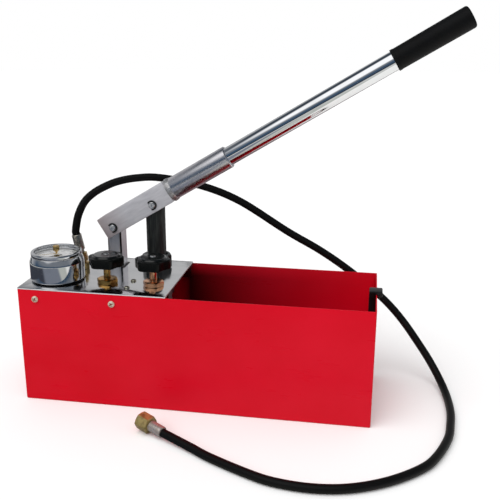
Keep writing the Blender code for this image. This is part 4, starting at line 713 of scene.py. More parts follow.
def makePlate():
    low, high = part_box("deck_plate")
    thick, edge = plate["thickness"], plate["edge"]
    under, above = high.z - thick, high.z + thick
    below = under - thick
    corners = eased(rectangle(low.x, low.y, high.x, high.y), plate["corner"], True)
    tools = []
    for node, radius in plate["holes"].items():
        middle = centreOf(node)
        tools.append(moved(barShape(radius, below, above), at(middle.x, middle.y)))
    tools.append(slabShape(eased(rectangle(*plate["slot"]), plate["slotCorner"], True), below, above))
    shapes = [carve(slabShape(corners, under, high.z, edge, 2), tools)]
    for side in (-1, 1):
        outer = side * (high.y - plate["wallGap"])
        front, back = sorted((outer, outer - side * thick))
        start = (low.x + 3 * thick, front, under - plate["flange"])
        shapes.append(boxShape(start, (high.x - thick, back, under - joinDistance), edge, 2))
    addPiece("deckSheet", merged(*shapes), makeBrightPlate(), "deck_plate")


# Cross-head screws

screws = {
    "wall": {"head": 0.00475, "height": 0.003, "shank": 0.0025, "length": 0.008},
    "body": {"head": 0.004, "height": 0.0024, "shank": 0.0022, "length": 0.012},
    "knob": {"head": 0.004, "height": 0.0017, "shank": 0.002, "length": 0.012},
    # the head's outline in shares of its radius and height
    "crownShares": ((0, 1), (0.45, 0.97), (0.75, 0.82), (0.95, 0.50), (1, 0.2), (1, 0)),
    "recessWidth": 0.0015, "recessShare": 0.62, "recessFloorShare": -0.2,
    "threadPitch": 0.0008, "threadDepth": 0.0003, "threadShares": (0.3, 0.8), "rootShare": 0.6,
    # twists in degrees: a start and a step on the walls, a step on the deck
    "wallTwist": (17, 49), "bodyTwist": 31,
}


def screwShape(sizes):
    head, height, shank, length = (sizes[key] for key in ("head", "height", "shank", "length"))
    pitch = screws["threadPitch"]
    crest, root = screws["threadShares"]
    profile = [(head * x, height * y) for x, y in screws["crownShares"]] + [(shank, 0.0)]
    for number in range(int(length / pitch) - 1):
        z = -number * pitch
        profile += [(shank, z - crest * pitch), (shank - screws["threadDepth"], z - root * pitch)]
    profile += [(screws["rootShare"] * shank, -length), (0, -length)]
    reach, half = head * screws["recessShare"], screws["recessWidth"] / 2
    floor, top = height * screws["recessFloorShare"], 2 * height
    arms = [
        boxShape((-reach, -half, floor), (reach, half, top)),
        boxShape((-half, -reach, floor), (half, reach, top)),
    ]
    return carve(spun(profile, 36), arms)


def makeScrews():
    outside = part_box("tank")[1].y + clearance
    start, step = screws["wallTwist"]
    for number in range(1, 5):
        node = f"plate_screw_{number}"
        middle = centreOf(node)
        side = -1 if middle.y < 0 else 1
        aim = aimed(Vector((middle.x, side * outside, middle.z)), Vector((0, side, 0)))
        zinc = makeZinc(f"screwZinc{number}", (0.86, 0.78, 0.60), middle, 0.55)
        shape = moved(screwShape(screws["wall"]), aim @ turned(radians(start + step * number), "Z"))
        addPiece(f"wallScrew{number}", shape, zinc, node)
    for number in (1, 2):
        node = f"body_screw_{number}"
        middle = centreOf(node)
        place = at(middle.x, middle.y, deckTop + clearance) @ turned(radians(screws["bodyTwist"] * number), "Z")
        zinc = makeZinc(f"deckScrewZinc{number}", (0.70, 0.66, 0.52), middle)
        addPiece(f"deckScrew{number}", moved(screwShape(screws["body"]), place), zinc, node)


# Storage hook over the right end wall

hook = {"edge": 0.0009, "ease": 0.0022, "gap": 0.0003, "inner": 0.0092, "top": 0.0047, "outerDrop": 0.003}


def makeHook():
    low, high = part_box("lever_clip")
    wallLow, wallHigh = low.x + hook["inner"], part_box("tank")[1].x + hook["gap"]
    seat = high.z - hook["top"]
    drop = seat - hook["outerDrop"]
    outline = stairs(low.x, low.z, wallLow, seat, wallHigh, drop, high.x, high.z, low.x)
    half, middle = (high.y - low.y) / 2, (high.y + low.y) / 2
    shape = slabShape(eased(outline, hook["ease"], True, 4), -half, half, hook["edge"])
    finish = makeBlackPlastic("hookPlastic", 0.30, 900.0, 0.12)
    moved(shape, at(0, middle) @ turned(quarter, "X"))
    addPiece("storageHook", shape, finish, "lever_clip")


# Pump under the deck

barrel = {
    "radius": 0.020, "bore": 0.0149, "collar": 0.025, "collarHeight": 0.0087, "box": 0.01745,
    "bodyTop": 0.170, "bodyHeight": 0.029, "ease": 0.0007, "castingEdge": 0.0008, "rings": 3,
}
foot = {
    "radius": 0.020, "spigot": 0.0145, "spigotHeight": 0.0063, "port": 0.004, "ease": 0.0008, "flatShare": 0.93,
    "chamber": 0.0065, "chamberLow": 0.006, "chamberHigh": 0.018, "hexLow": 0.004, "hexHigh": 0.014,
}
strainer = {"radius": 0.017, "wall": 0.0012, "slot": 0.0022, "slots": 16, "slotLow": 0.0028, "slotHigh": 0.0074}
pipes = {"delivery": 0.004, "return": 0.005, "wall": 0.001, "bend": 0.018, "bendSteps": 12}


def makeCastBody():
    # a copy of the CAD node with its edges rounded
    shape = bmesh.new()
    shape.from_mesh(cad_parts["pump_body"].data)
    welded(shape)
    bmesh.ops.dissolve_limit(shape, angle_limit=radians(1), verts=shape.verts[:], edges=shape.edges[:])
    piece = addPiece("pumpCasting", shape, makeCasting(), "pump_body")
    roundEdges(piece, barrel["castingEdge"], 3, sharpAngle)


def makePumpWorks():
    low, high = heights("cylinder_barrel")
    packLow, packHigh = heights("gland_packing")
    radius, bore, box = barrel["radius"], barrel["bore"], barrel["box"]
    collarTop = barrel["bodyTop"] - barrel["bodyHeight"] - clearance
    collarLow = collarTop - barrel["collarHeight"]
    collar = (barrel["collar"], collarLow, radius, low, bore, packLow - clearance, box)
    shape = turnedShape(stairs(box, high, radius, collarTop, *collar), barrel["ease"], barrelPlace)
    steel = makeTurnedMetal("barrelSteel", (0.50, 0.50, 0.51), (0.36, 0.35, 0.34), barrelCentre, rough=0.26)
    addPiece("pumpBarrel", shape, steel, "cylinder_barrel")

    third = (packHigh - packLow) / barrel["rings"]
    rings = []
    for number in range(barrel["rings"]):
        start = packLow + third * number
        square = rectangle(bore, start + third, box - clearance, start)
        rings.append(spun(eased(square, third / 3, True)))
    tones = ((0.74, 0.72, 0.65), (0.60, 0.58, 0.50), (0.80, 0.78, 0.71))
    packing, strands = makeMottled("packing", *tones, 700.0, 3.0, (0.6, 0.2), 0.2)
    packing.bump(strands, 0.4, 0.0003)
    addPiece("packingRings", moved(merged(*rings), barrelPlace), packing, "gland_packing")

    low, high = heights("foot_valve_body")
    port, radius = foot["port"], foot["radius"]
    chamber = (port, low + foot["chamberLow"], foot["chamber"], low + foot["chamberHigh"], port)
    profile = stairs(port, high, foot["spigot"], high - foot["spigotHeight"], radius, low, *chamber)
    reach, flat = 2 * radius, radius * foot["flatShare"]
    flats = []
    for side in (-1, 1):
        start, end = sorted((side * flat, side * reach))
        flats.append(boxShape((start, -reach, low + foot["hexLow"]), (end, reach, low + foot["hexHigh"])))
    brass = makeTurnedMetal("footBrass", (0.64, 0.44, 0.17), (0.44, 0.30, 0.13), barrelCentre)
    shape = moved(carve(spun(eased(profile, foot["ease"], True)), flats), barrelPlace)
    addPiece("footValve", shape, brass, "foot_valve_body")

    low, high = heights("suction_strainer")
    wall, radius = strainer["wall"], strainer["radius"]
    cup = spun(eased(stairs(0, low + wall, radius - wall, high, radius, low, 0), wall / 3))
    half, reach = strainer["slot"] / 2, 2 * radius
    slots = []
    for number in range(strainer["slots"] // 2):
        start = (-reach, -half, low + strainer["slotLow"])
        slot = boxShape(start, (reach, half, low + strainer["slotHigh"]))
        slots.append(moved(slot, turned(2 * pi * number / strainer["slots"], "Z")))
    addPiece("strainerCup", moved(carve(cup, slots), barrelPlace), plainSteel, "suction_strainer")


def makePipes():
    copper = makeTurnedMetal("pipeCopper", (0.66, 0.34, 0.20), (0.42, 0.20, 0.12), centreOf("delivery_pipe"))
    low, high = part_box("delivery_pipe")
    radius, wall = pipes["delivery"], pipes["wall"]
    middle = (low.x + high.x) / 2
    corner = Vector((middle, low.y + radius, low.z + radius))
    points = [Vector((middle, high.y, low.z + radius))]
    for number in range(pipes["bendSteps"] + 1):
        turn = quarter * number / pipes["bendSteps"]
        points.append(corner + Vector((0, 1 - sin(turn), 1 - cos(turn))) * pipes["bend"])
    points.append(Vector((middle, low.y + radius, high.z)))
    bore = [points[0] + Vector((0, radius, 0)), *points[1:-1], points[-1] + Vector((0, 0, radius))]
    shape = carve(tubeShape(points, radius), [tubeShape(bore, radius - wall)])
    addPiece("deliveryPipe", shape, copper, "delivery_pipe")
    low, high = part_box("return_pipe")
    middle = (low + high) / 2
    profile = rectangle(pipes["return"] - wall, high.z, pipes["return"], low.z)
    shape = turnedShape(profile, wall / 3, at(middle.x, middle.y), 48)
    addPiece("returnPipe", shape, copper, "return_pipe")


plug = {"radius": 0.006, "socket": 0.0029, "depth": 0.004, "ease": 0.0005}


def makePlugsAndBalls():
    centre = centreOf("gallery_plug_left")
    brass = makeTurnedMetal("plugBrass", (0.64, 0.44, 0.17), (0.44, 0.30, 0.13), centre, (0, quarter, 0))
    for name, node, side in (("plugLeft", "gallery_plug_left", -1), ("plugRight", "gallery_plug_right", 1)):
        low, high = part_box(node)
        middle = centreOf(node)
        socket = barShape(plug["socket"], -plug["depth"], plug["depth"], 6)
        profile = stairs(0, 0, plug["radius"], low.x - high.x, 0)
        shape = carve(spun(eased(profile, plug["ease"]), 48), [socket])
        face = Vector((high.x if side > 0 else low.x, middle.y, middle.z))
        addPiece(name, moved(shape, aimed(face, Vector((side, 0, 0)))), brass, node)
    centre = centreOf("suction_ball")
    steel = makeTurnedMetal("ballSteel", (0.66, 0.66, 0.68), (0.56, 0.56, 0.57), centre, rough=0.08)
    for kind in ("suction", "delivery"):
        node = f"{kind}_ball"
        low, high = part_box(node)
        shape = bmesh.new()
        bmesh.ops.create_uvsphere(shape, u_segments=40, v_segments=24, radius=(high.z - low.z) / 2)
        moved(shape, Matrix.Translation((low + high) / 2))
        addPiece(f"{kind}Ball", shape, steel, node, f"{kind}_valve_ball")


# Gland nut and plunger

gland = {"radius": 0.023, "spigot": 0.017, "bore": 0.0149, "wiper": 0.0019, "lip": 0.0008}
plunger = {
    "radius": 0.0145, "chamfer": 0.005, "ease": 0.0006, "slot": (-0.0110, -0.0090, 0.0070, 0.0066),
    "slotCorner": 0.004,
}


def makeGlandAndPlunger():
    low, high = heights("gland_nut")
    seat = deckTop + clearance
    bore, wiper, lip = gland["bore"], gland["wiper"], gland["lip"]
    spigot = rodShape(gland["spigot"], seat + clearance, low)
    nut = carve(nutShape(gland["radius"], seat, high), [spigot], "UNION")
    hole = stairs(0, high + lip, bore + wiper, high - wiper)
    hole += [(bore, high - 2 * wiper), (bore, low - lip), (0, low - lip)]
    dark = makeDarkSteel("glandSteel", barrelCentre)
    addPiece("glandNut", moved(carve(nut, [spun(hole)]), barrelPlace), dark, "gland_nut")
    # the lip of the wiper, in the gland's mouth
    outer = bore + wiper - clearance
    profile = ((bore, high), (outer, high - lip), (outer, high - wiper), (bore, high - wiper))
    addPiece("wiperLip", turnedShape(profile, lip / 2, barrelPlace), washerRubber)

    low, high = (height - plungerPin.z for height in heights("plunger"))
    radius, chamfer = plunger["radius"], plunger["chamfer"]
    profile = ((0, high), (radius - chamfer, high), (radius, high - chamfer), (radius, low), (0, low))
    slot = slabShape(eased(rectangle(*plunger["slot"]), plunger["slotCorner"], True, 6), -2 * radius, 2 * radius)
    moved(slot, turned(quarter, "X"))
    shape = carve(spun(eased(profile, plunger["ease"]), 96), [slot])
    moved(shape, at(barrelCentre.x, barrelCentre.y, plungerPin.z))
    black = makeDarkSteel("plungerSteel", plungerPin, (0.060, 0.066, 0.062))
    addPiece("plungerRod", shape, black, "plunger", "plunger_body")


# The two needle valves

valve = {
    "bonnet": 0.0155, "bonnetHeight": 0.0064, "spigot": 0.009, "stem": 0.005, "tip": 0.0024, "tipHeight": 0.005,
    "screwHole": 0.0023, "holeDepth": 0.012, "threadPitch": 0.0015, "threadDepth": 0.0004, "threads": 6,
}
knob = {
    "radius": 0.0256, "lobe": 0.003, "lobes": 6, "points": 180, "low": 0.0262, "high": 0.0400, "edge": 0.0016,
    "hub": 0.009, "hubLow": 0.0232, "capBase": 0.0208, "cap": 0.0180, "capHeight": 0.0027, "capEdge": 0.0012,
    "dish": 0.0006, "dishRadius": 0.0068, "hollow": 0.0178, "hollowInner": 0.0105, "hollowDepth": 0.004,
}
blackGloss = makeBlackGloss()


def knobShape():
    outline = []
    for number in range(knob["points"]):
        turn = 2 * pi * number / knob["points"]
        dip = knob["lobe"] / 2 * (1 - cos(knob["lobes"] * (turn - quarter)))
        radius = knob["radius"] - knob["lobe"] + dip
        outline.append((radius * cos(turn), radius * sin(turn)))
    low, high, dish, ease = knob["low"], knob["high"], knob["dish"], knob["capEdge"]
    lobes = slabShape(outline, low, high, knob["edge"], 5)
    top, middle = high + knob["capHeight"], (low + high) / 2
    cap = ((0, top), (knob["cap"], top), (knob["capBase"], high), (knob["capBase"], middle), (0, middle))
    hub = stairs(0, middle, knob["hub"], knob["hubLow"], 0)
    whole = carve(lobes, [spun(eased(cap, ease, False, 4), 96), spun(eased(hub, ease), 64)], "UNION")
    bowl = stairs(0, top + clearance, knob["dishRadius"], top - dish, 0)
    outer, inner, roof, below = knob["hollow"], knob["hollowInner"], low + knob["hollowDepth"], low - clearance
    hollow = ((inner, roof), (outer, roof), (outer + dish, below), (inner - dish, below))
    return carve(whole, [spun(eased(bowl, dish / 3), 64), spun(eased(hollow, ease, True), 96)])


def makeValve(name, colour, dull, twist):
    spindle, body = f"{name}_spindle", f"{name}_handle"
    centre = centreOf(spindle)
    place = at(centre.x, centre.y, deckTop)
    brass = makeTurnedMetal(f"{name}Brass", colour, dull, centre, rough=0.14)
    stem, screwHole = valve["stem"], valve["screwHole"]
    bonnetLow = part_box(f"{name}_bonnet")[0].z - deckTop
    top = clearance + valve["bonnetHeight"]
    spigot = rodShape(valve["spigot"], top / 2, bonnetLow)
    bore = barShape(stem + clearance, bonnetLow - clearance, 2 * top, 64)
    bonnet = carve(carve(nutShape(valve["bonnet"], clearance, top), [spigot], "UNION"), [bore])
    addPiece(f"{name}Bonnet", moved(bonnet, place), brass, f"{name}_bonnet")

    low, high = (height - deckTop for height in heights(spindle))
    pitch, depth = valve["threadPitch"], valve["threadDepth"]
    threads = []
    for number in range(valve["threads"]):
        z = top + pitch - number * pitch
        threads += [(stem, z), (stem - depth, z - pitch / 2)]
    end = [(stem, threads[-1][1] - pitch), (stem, low + valve["tipHeight"]), (valve["tip"], low), (0, low)]
    profile = [*stairs(0, high - valve["holeDepth"], screwHole, high, stem), *threads, *end]
    shape = turnedShape(profile, depth / 2, place, 64, False)
    addPiece(f"{name}Spindle", shape, brass, spindle, body)

    socketTop = high + clearance
    socket = barShape(stem + clearance, knob["hubLow"] - clearance, socketTop, 64)
    hole = barShape(screwHole, socketTop - clearance, knob["high"] + 2 * knob["capHeight"], 32)
    shape = moved(carve(knobShape(), [socket, hole]), place)
    addPiece(f"{name}Knob", shape, blackGloss, f"{name}_knob", body)
    head = knob["high"] + knob["capHeight"] - knob["dish"] + clearance
    steel = makeTurnedMetal(f"{name}ScrewSteel", (0.62, 0.62, 0.62), (0.48, 0.48, 0.47), centre)
    shape = moved(screwShape(screws["knob"]), place @ turned(twist, "Z") @ at(0, 0, head))
    addPiece(f"{name}KnobScrew", shape, steel, f"{name}_knob_screw", body)


# Gauge

gauge = {
    "baseInner": 0.0305, "baseEase": 0.0006, "radius": 0.0386, "neck": 0.0357, "shoulder": 0.008,
    "wall": 0.0015, "floor": 0.002, "stemHole": 0.0058, "caseEase": 0.0016, "bezel": 0.0360,
    "opening": 0.0315, "groove": 0.0334, "bezelEase": 0.0020, "pointerHole": 0.0016, "arborHole": 0.0012,
    "sweep": radians(270), "zero": radians(-135), "divisions": 60, "major": 10, "middle": 5,
    "scaleRadius": 0.0288, "print": 0.00006, "arcWidth": 0.0004, "arcSteps": 120,
    "longTick": (0.0042, 0.0007), "midTick": (0.0030, 0.00045), "shortTick": (0.0019, 0.00028),
    "numberRadius": 0.0208, "numberHeight": 0.0046,
}


def makeGauge():
    place = at(gaugeCentre.x, gaugeCentre.y)
    chrome = makeChrome("gaugeChrome", gaugeCentre, (0, 0, 0), (0.68, 0.69, 0.71), 0.06)
    caseLow, caseHigh = heights("gauge_case")
    low, high = heights("gauge_bezel")
    glassLow, glassHigh = heights("gauge_glass")
    radius, neck, wall, stemHole = gauge["radius"], gauge["neck"], gauge["wall"], gauge["stemHole"]
    floor, shoulder = caseLow + gauge["floor"], caseHigh - gauge["shoulder"]
    case = [*stairs(stemHole, floor, radius - wall, shoulder), (neck - wall, caseHigh), (neck, caseHigh)]
    case += [(radius, shoulder), (radius, caseLow), (stemHole, caseLow)]
    opening, groove = gauge["opening"], gauge["groove"]
    seat = (opening, glassLow - clearance, groove, glassHigh + clearance, opening)
    bezel = stairs(opening, high, gauge["bezel"], low, *seat)
    pane = rectangle(gauge["pointerHole"], glassHigh, groove - clearance, glassLow)
    discs = []
    for node, inner in (("gauge_base", gauge["baseInner"]), ("gauge_dial", gauge["arborHole"])):
        discLow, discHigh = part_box(node)
        discs.append(rectangle(inner, discHigh.z, (discHigh.x - discLow.x) / 2, discLow.z))
    base, dial = discs
    dialTop = discHigh.z
    tones = ((0.70, 0.70, 0.69), (0.68, 0.68, 0.67), (0.74, 0.74, 0.735))
    card = makeMottled("dialWhite", *tones, 500.0, 4.0, (0.42, 0.12))[0]
    for name, profile, ease, sides, steps, finish, slot in (
        ("Base", base, gauge["baseEase"], 96, 3, blackPlastic, "black_plastic"),
        ("Case", case, gauge["caseEase"], 128, 5, chrome, "chrome"),
        ("Bezel", bezel, gauge["bezelEase"], 128, 4, chrome, "chrome"),
        ("Glass", pane, clearance, 128, 3, makeGlass(), "glass"),
        ("Dial", dial, clearance / 2, 128, 3, card, "dial_white"),
    ):
        shape = turnedShape(profile, ease, place, sides, True, steps)
        addPiece(f"gauge{name}", shape, finish, f"gauge_{name.lower()}")
    makeDialPrint(at(gaugeCentre.x, gaugeCentre.y, dialTop))
    # the works keep their CAD shapes
    brass = makeTurnedMetal("worksBrass", (0.64, 0.45, 0.18), (0.48, 0.33, 0.14), gaugeCentre)
    for node in ("gauge_movement", "bourdon_tube", "gauge_stem"):
        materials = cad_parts[node].data.materials
        materials.clear()
        materials.append(brass.material)
    makeNeedles(dialTop, glassLow, glassHigh)


def makeDialPrint(place):
    # ticks, an arc and plain numbers, laid thinly on the dial
    high, zero, sweep, inner = gauge["print"], gauge["zero"], gauge["sweep"], gauge["scaleRadius"]
    turns = [zero - sweep * number / gauge["divisions"] for number in range(gauge["divisions"] + 1)]
    marks = []
    for number, turn in enumerate(turns):
        kind = "midTick" if number % gauge["middle"] == 0 else "shortTick"
        length, width = gauge["longTick" if number % gauge["major"] == 0 else kind]
        mark = boxShape((inner - length, -width / 2, 0), (inner, width / 2, high))
        marks.append(moved(mark, turned(turn, "Z")))
    outline = band(inner + gauge["arcWidth"], inner, zero, zero - sweep, gauge["arcSteps"])
    marks.append(slabShape(outline, 0, high))
    for number in range(0, gauge["divisions"] + 1, gauge["major"]):
        text = bpy.data.curves.new("temp", "FONT")
        text.body = str(number)
        text.size = gauge["numberHeight"]
        text.align_x = text.align_y = "CENTER"
        text.extrude = high / 2
        turn, radius = turns[number], gauge["numberRadius"]
        spot = at(radius * cos(turn), radius * sin(turn), high / 2)
        marks.append(moved(evaluated(linked("temp", text)), spot))
    tones = ((0.010, 0.010, 0.011), (0.008, 0.008, 0.009), (0.022, 0.022, 0.024))
    ink = makeMottled("dialInk", *tones, 3000.0, 2.0, (0.45, 0.1))[0]
    addPiece("dialPrint", moved(merged(*marks), place @ at(0, 0, high / 4)), ink)


needle = {
    "rest": radians(-135), "length": 0.025, "tail": 0.008, "width": 0.0024, "tipWidth": 0.0005, "low": 0.0006,
    "high": 0.0011, "hub": 0.0030, "hubHigh": 0.0015, "weight": 0.0021, "arbor": 0.0008, "arborDepth": 0.006,
    "waistShare": 0.6, "weightArc": (radians(50), radians(310), 14),
}
pointer = {
    "rest": radians(-150), "length": 0.0235, "width": 0.0018, "tipWidth": 0.0006, "thickness": 0.0006,
    "shaft": 0.0012, "neck": 0.0026, "neckTop": 0.0015, "knob": 0.0045, "knobTop": 0.0092, "flutes": 24,
    "fluteDepth": 0.0003, "below": 0.0012, "edge": 0.0006,
}


def makeNeedles(dialTop, glassLow, glassTop):
    length, tail, half, tip = needle["length"], needle["tail"], needle["width"] / 2, needle["tipWidth"] / 2
    share, weight = needle["waistShare"], needle["weight"]
    outline = [(length, -tip), (length, tip), (0, half), (-tail * share, half * share)]
    outline += arc((-tail + weight, 0), weight, *needle["weightArc"])
    outline += [(-tail * share, -half * share), (0, -half)]
    blade = slabShape(outline, needle["low"], needle["high"], clearance / 4, 1)
    hub = spun(eased(stairs(0, needle["hubHigh"], needle["hub"], clearance, 0), clearance))
    arbor = barShape(needle["arbor"], -needle["arborDepth"], needle["hubHigh"] / 2, 24)
    place = at(gaugeCentre.x, gaugeCentre.y, dialTop) @ turned(needle["rest"], "Z")
    shape = moved(carve(blade, [hub, arbor], "UNION"), place)
    black = makeBlackPlastic("needlePaint", 0.35, 1500.0, 0.05)
    addPiece("gaugeNeedle", shape, black, "gauge_needle", "needle")

    under = glassLow - glassTop - pointer["below"]
    length, half, tip = pointer["length"], pointer["width"] / 2, pointer["tipWidth"] / 2
    thick = pointer["thickness"] / 2
    outline = ((-half, -half), (length, -tip), (length, tip), (-half, half))
    blade = slabShape(outline, under - thick, under + thick)
    top, neckTop, radius, edge = pointer["knobTop"], pointer["neckTop"], pointer["knob"], pointer["edge"]
    profile = [(0, top), (radius - edge, top), (radius, top - edge), (radius, neckTop + edge)]
    profile += stairs(radius - edge, neckTop, pointer["neck"], clearance, pointer["shaft"], under, 0)
    knurled = spun(eased(profile, clearance / 2), 4 * pointer["flutes"])
    for vert in knurled.verts:
        if vert.co.xy.length > radius - clearance and neckTop < vert.co.z < top:
            wave = cos(pointer["flutes"] * atan2(vert.co.y, vert.co.x))
            vert.co.xy *= 1 - pointer["fluteDepth"] / radius * (0.5 - 0.5 * wave)
    place = at(gaugeCentre.x, gaugeCentre.y, glassTop) @ turned(pointer["rest"], "Z")
    shape = moved(carve(blade, [knurled], "UNION"), place)
    brass = makeTurnedMetal("pointerBrass", (0.72, 0.50, 0.20), (0.55, 0.36, 0.14), gaugeCentre, rough=0.16)
    addPiece("dragPointer", shape, brass, "gauge_pointer", "drag_pointer")


# Outlet, ferrules and the union nut

outlet = {
    "hex": 0.0095, "hexHeight": 0.0097, "spigot": 0.0065, "stub": 0.0045, "bore": 0.002,
    "nut": 0.0088, "nutLength": 0.012, "nutBore": 0.0056, "nutBoreDepth": 0.005, "ferruleLength": 0.0295,
}
ferrule = {
    "radius": 0.0072, "neck": 0.0052, "neckLength": 0.005, "edge": 0.0008,
    "endRadius": 0.0076, "endLength": 0.022, "tailRadius": 0.0062, "tail": 0.009,
}
unionNut = {
    "radius": 0.0125, "length": 0.019, "bore": 0.0093, "floor": 0.003, "neck": 0.0066, "pitch": 0.0018,
    "thread": 0.0006, "washer": 0.0015, "washerBore": 0.0035, "mouth": 0.001,
}


def makeOutlet():
    middle = centreOf("outlet_fitting")
    brass = makeTurnedMetal("outletBrass", (0.66, 0.47, 0.19), (0.46, 0.33, 0.15), middle, rough=0.2)
    low, high = heights("outlet_fitting")
    seat = deckTop + clearance
    hexTop = seat + outlet["hexHeight"]
    spigot = rodShape(outlet["spigot"], seat + clearance, low, 48)
    stub = rodShape(outlet["stub"], high, hexTop - clearance, 48)
    bore = barShape(outlet["bore"], low - seat, high + seat, 32)
    shape = carve(carve(nutShape(outlet["hex"], seat, hexTop), [spigot, stub], "UNION"), [bore])
    addPiece("outletFitting", moved(shape, at(middle.x, middle.y)), brass, "outlet_fitting")

    exitPoint, length, nutLength = Vector(hose["exit"]), outlet["ferruleLength"], outlet["nutLength"]
    ferruleStart = exitPoint - exitAlong * (length + clearance)
    nutStart = ferruleStart - exitAlong * (nutLength + clearance)
    tools = [
        barShape(outlet["nutBore"], -outlet["nutBoreDepth"], outlet["nutBoreDepth"], 48),
        barShape(outlet["bore"], 0, 2 * nutLength, 32),
    ]
    shape = moved(carve(nutShape(outlet["nut"], 0, nutLength), tools), aimed(nutStart, exitAlong))
    addPiece("outletNut", shape, brass, "outlet_nut")

    radius, neck, edge = ferrule["radius"], ferrule["neckLength"], ferrule["edge"]
    profile = [(0, length), (radius - edge, length), (radius, length - edge), (radius, neck + edge)]
    profile += stairs(radius - edge, neck, ferrule["neck"], 0, 0)
    shape = turnedShape(profile, clearance, aimed(ferruleStart, exitAlong), 64, False)
    addPiece("exitFerrule", shape, makeZinc("exitZinc", (0.60, 0.56, 0.47), exitPoint), "exit_ferrule")


def makeHoseEnd():
    end = Vector(hose["end"])
    silver = makeZinc("endZinc", (0.52, 0.45, 0.40), end, 0.7)
    length, edge, tail, radius = (ferrule[key] for key in ("endLength", "edge", "tail", "endRadius"))
    profile = stairs(0, length + tail, ferrule["tailRadius"], length, radius - edge)
    profile += [(radius, length - edge), (radius, edge), (radius - edge, 0), (0, 0)]
    first = end + endAlong * clearance
    shape = turnedShape(profile, clearance, aimed(first, endAlong), 64, False)
    endFerrule = addPiece("endFerrule", shape, silver, "end_ferrule")

    start = first + endAlong * (length + clearance)
    tones = ((0.52, 0.40, 0.16), (0.26, 0.18, 0.07))
    brass = makeTurnedMetal("unionBrass", *tones, start, (0, quarter, 0), 0.30, 0.7)
    bore, floor, pitch, mouth, high = (unionNut[key] for key in ("bore", "floor", "pitch", "mouth", "length"))
    profile = [(0, high + clearance), (bore + mouth, high + clearance)]
    z = high - mouth
    while z > floor + 2 * pitch:
        profile += [(bore - unionNut["thread"], z), (bore, z - pitch / 2)]
        z -= pitch
    profile += [(bore, floor), (0, floor)]
    tools = [spun(profile, 64), barShape(unionNut["neck"], -pitch, 2 * floor, 48)]
    shape = moved(carve(nutShape(unionNut["radius"], 0, high), tools), aimed(start, endAlong))
    nut = addPiece("unionNut", shape, brass, "union_nut", "swivel_nut")

    profile = rectangle(unionNut["washerBore"], unionNut["washer"], bore - 2 * clearance, 0)
    shape = turnedShape(profile, clearance, aimed(start + endAlong * tail, endAlong), 64)
    washer = addPiece("nutWasher", shape, washerRubber, "nut_washer")
    return [endFerrule, nut, washer]


# Rocking link, its pin and its strap

link = {
    "width": 0.022, "depth": 0.028, "chamfer": 0.0025, "edge": 0.0003, "pinHole": 0.0054, "steps": 20,
    # the tone of the painted shade on the chamfers
    "scale": (0.06, 0.06, 0.065),
}
strap = {
    "wall": 0.003, "play": 0.001, "length": 0.026, "bend": 0.0045, "bendSteps": 8, "pin": 0.005,
    "edge": 0.0004, "pinHead": 0.0075, "pinHeadHeight": 0.002,
}


def makeLinkSteel(footPin, lean):
    # bright flats, and painted shade on the chamfers
    steel = makeSatinSteel("linkSteel", (0.78, 0.77, 0.81), (0, quarter - lean, 0), 0.30, 1.0, 0.10)
    across = steel.place(footPin, (0, -lean, 0))
    apart = abs(steel.part(across, "X"))
    half, edge = link["width"] / 2, link["edge"]
    flat = half - link["chamfer"]
    # painted shade: a dark band along each chamfer
    scale = steel.window(apart, flat, flat + edge) - steel.window(apart, half - edge, half - clearance / 2)
    bright = steel.mix(steel.cloud(across, 300.0), (0.74, 0.73, 0.77), (0.84, 0.83, 0.86))
    steel.feed("Base Color", steel.mix(scale, bright, link["scale"]))
    return steel


def makeLink():
    footPin = centreOf("link_pin")
    footPin = Vector((footPin.x, fulcrum.y, footPin.z))
    along = fulcrum - footPin
    lean = atan2(-along.x, along.z)
    half, deep, steps = link["width"] / 2, link["depth"] / 2, link["steps"]
    outline = arc((0, along.length), half, 0, pi, steps) + arc((0, 0), half, pi, 2 * pi, steps)
    bar = slabShape(outline, -deep, deep)
    soften(bar, link["chamfer"], 1)
    soften(bar, link["edge"], 2)
    holes = [moved(barShape(link["pinHole"], -2 * deep, 2 * deep), at(0, z)) for z in (0, along.length)]
    stand = Matrix.Translation(footPin) @ (turned(-lean, "Y") @ turned(quarter, "X"))
    steel = makeLinkSteel(footPin, lean)
    addPiece("rockingLink", moved(carve(bar, holes), stand), steel, "fulcrum_link", "link")

    low, high = heights("link_bracket")
    wall, bend, steps = strap["wall"], strap["bend"], strap["bendSteps"]
    inner = deep + strap["play"]
    outer, tight = inner + wall, bend - wall
    left, right = -outer + bend, outer - bend
    rise, inside = low + bend, low + wall + tight
    outline = [(-outer, high), *arc((left, rise), bend, pi, 1.5 * pi, steps)]
    outline += [*arc((right, rise), bend, 1.5 * pi, 2 * pi, steps), (outer, high)]
    outline += [(inner, high), *arc((inner - tight, inside), tight, 0, -quarter, steps)]
    outline += [*arc((tight - inner, inside), tight, -quarter, -pi, steps), (-inner, high)]
    run = strap["length"] / 2
    shape = slabShape(outline, -run, run, strap["edge"], 2)
    # local X is the row's Y and local Z its X
    turn = Matrix(((0, 0, 1, footPin.x), (1, 0, 0, footPin.y), (0, 1, 0, 0), (0, 0, 0, 1)))
    hole = moved(barShape(strap["pin"] + clearance, -2 * outer, 2 * outer), turned(quarter, "X"))
    shape = carve(moved(shape, turn), [moved(hole, Matrix.Translation(footPin))])
    addPiece("linkStrap", shape, plainSteel, "link_bracket")

    low, high = (corner.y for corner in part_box("link_pin"))
    profile = stairs(0, high, strap["pin"], low + strap["pinHeadHeight"], strap["pinHead"], low, 0)
    place = at(footPin.x, 0, footPin.z) @ turned(-quarter, "X")
    shape = turnedShape(profile, strap["edge"], place, 48, False)
    addPiece("footPin", shape, plainSteel, "link_pin")


# Lever: fork, weld, socket, tube, grip, pins and rings

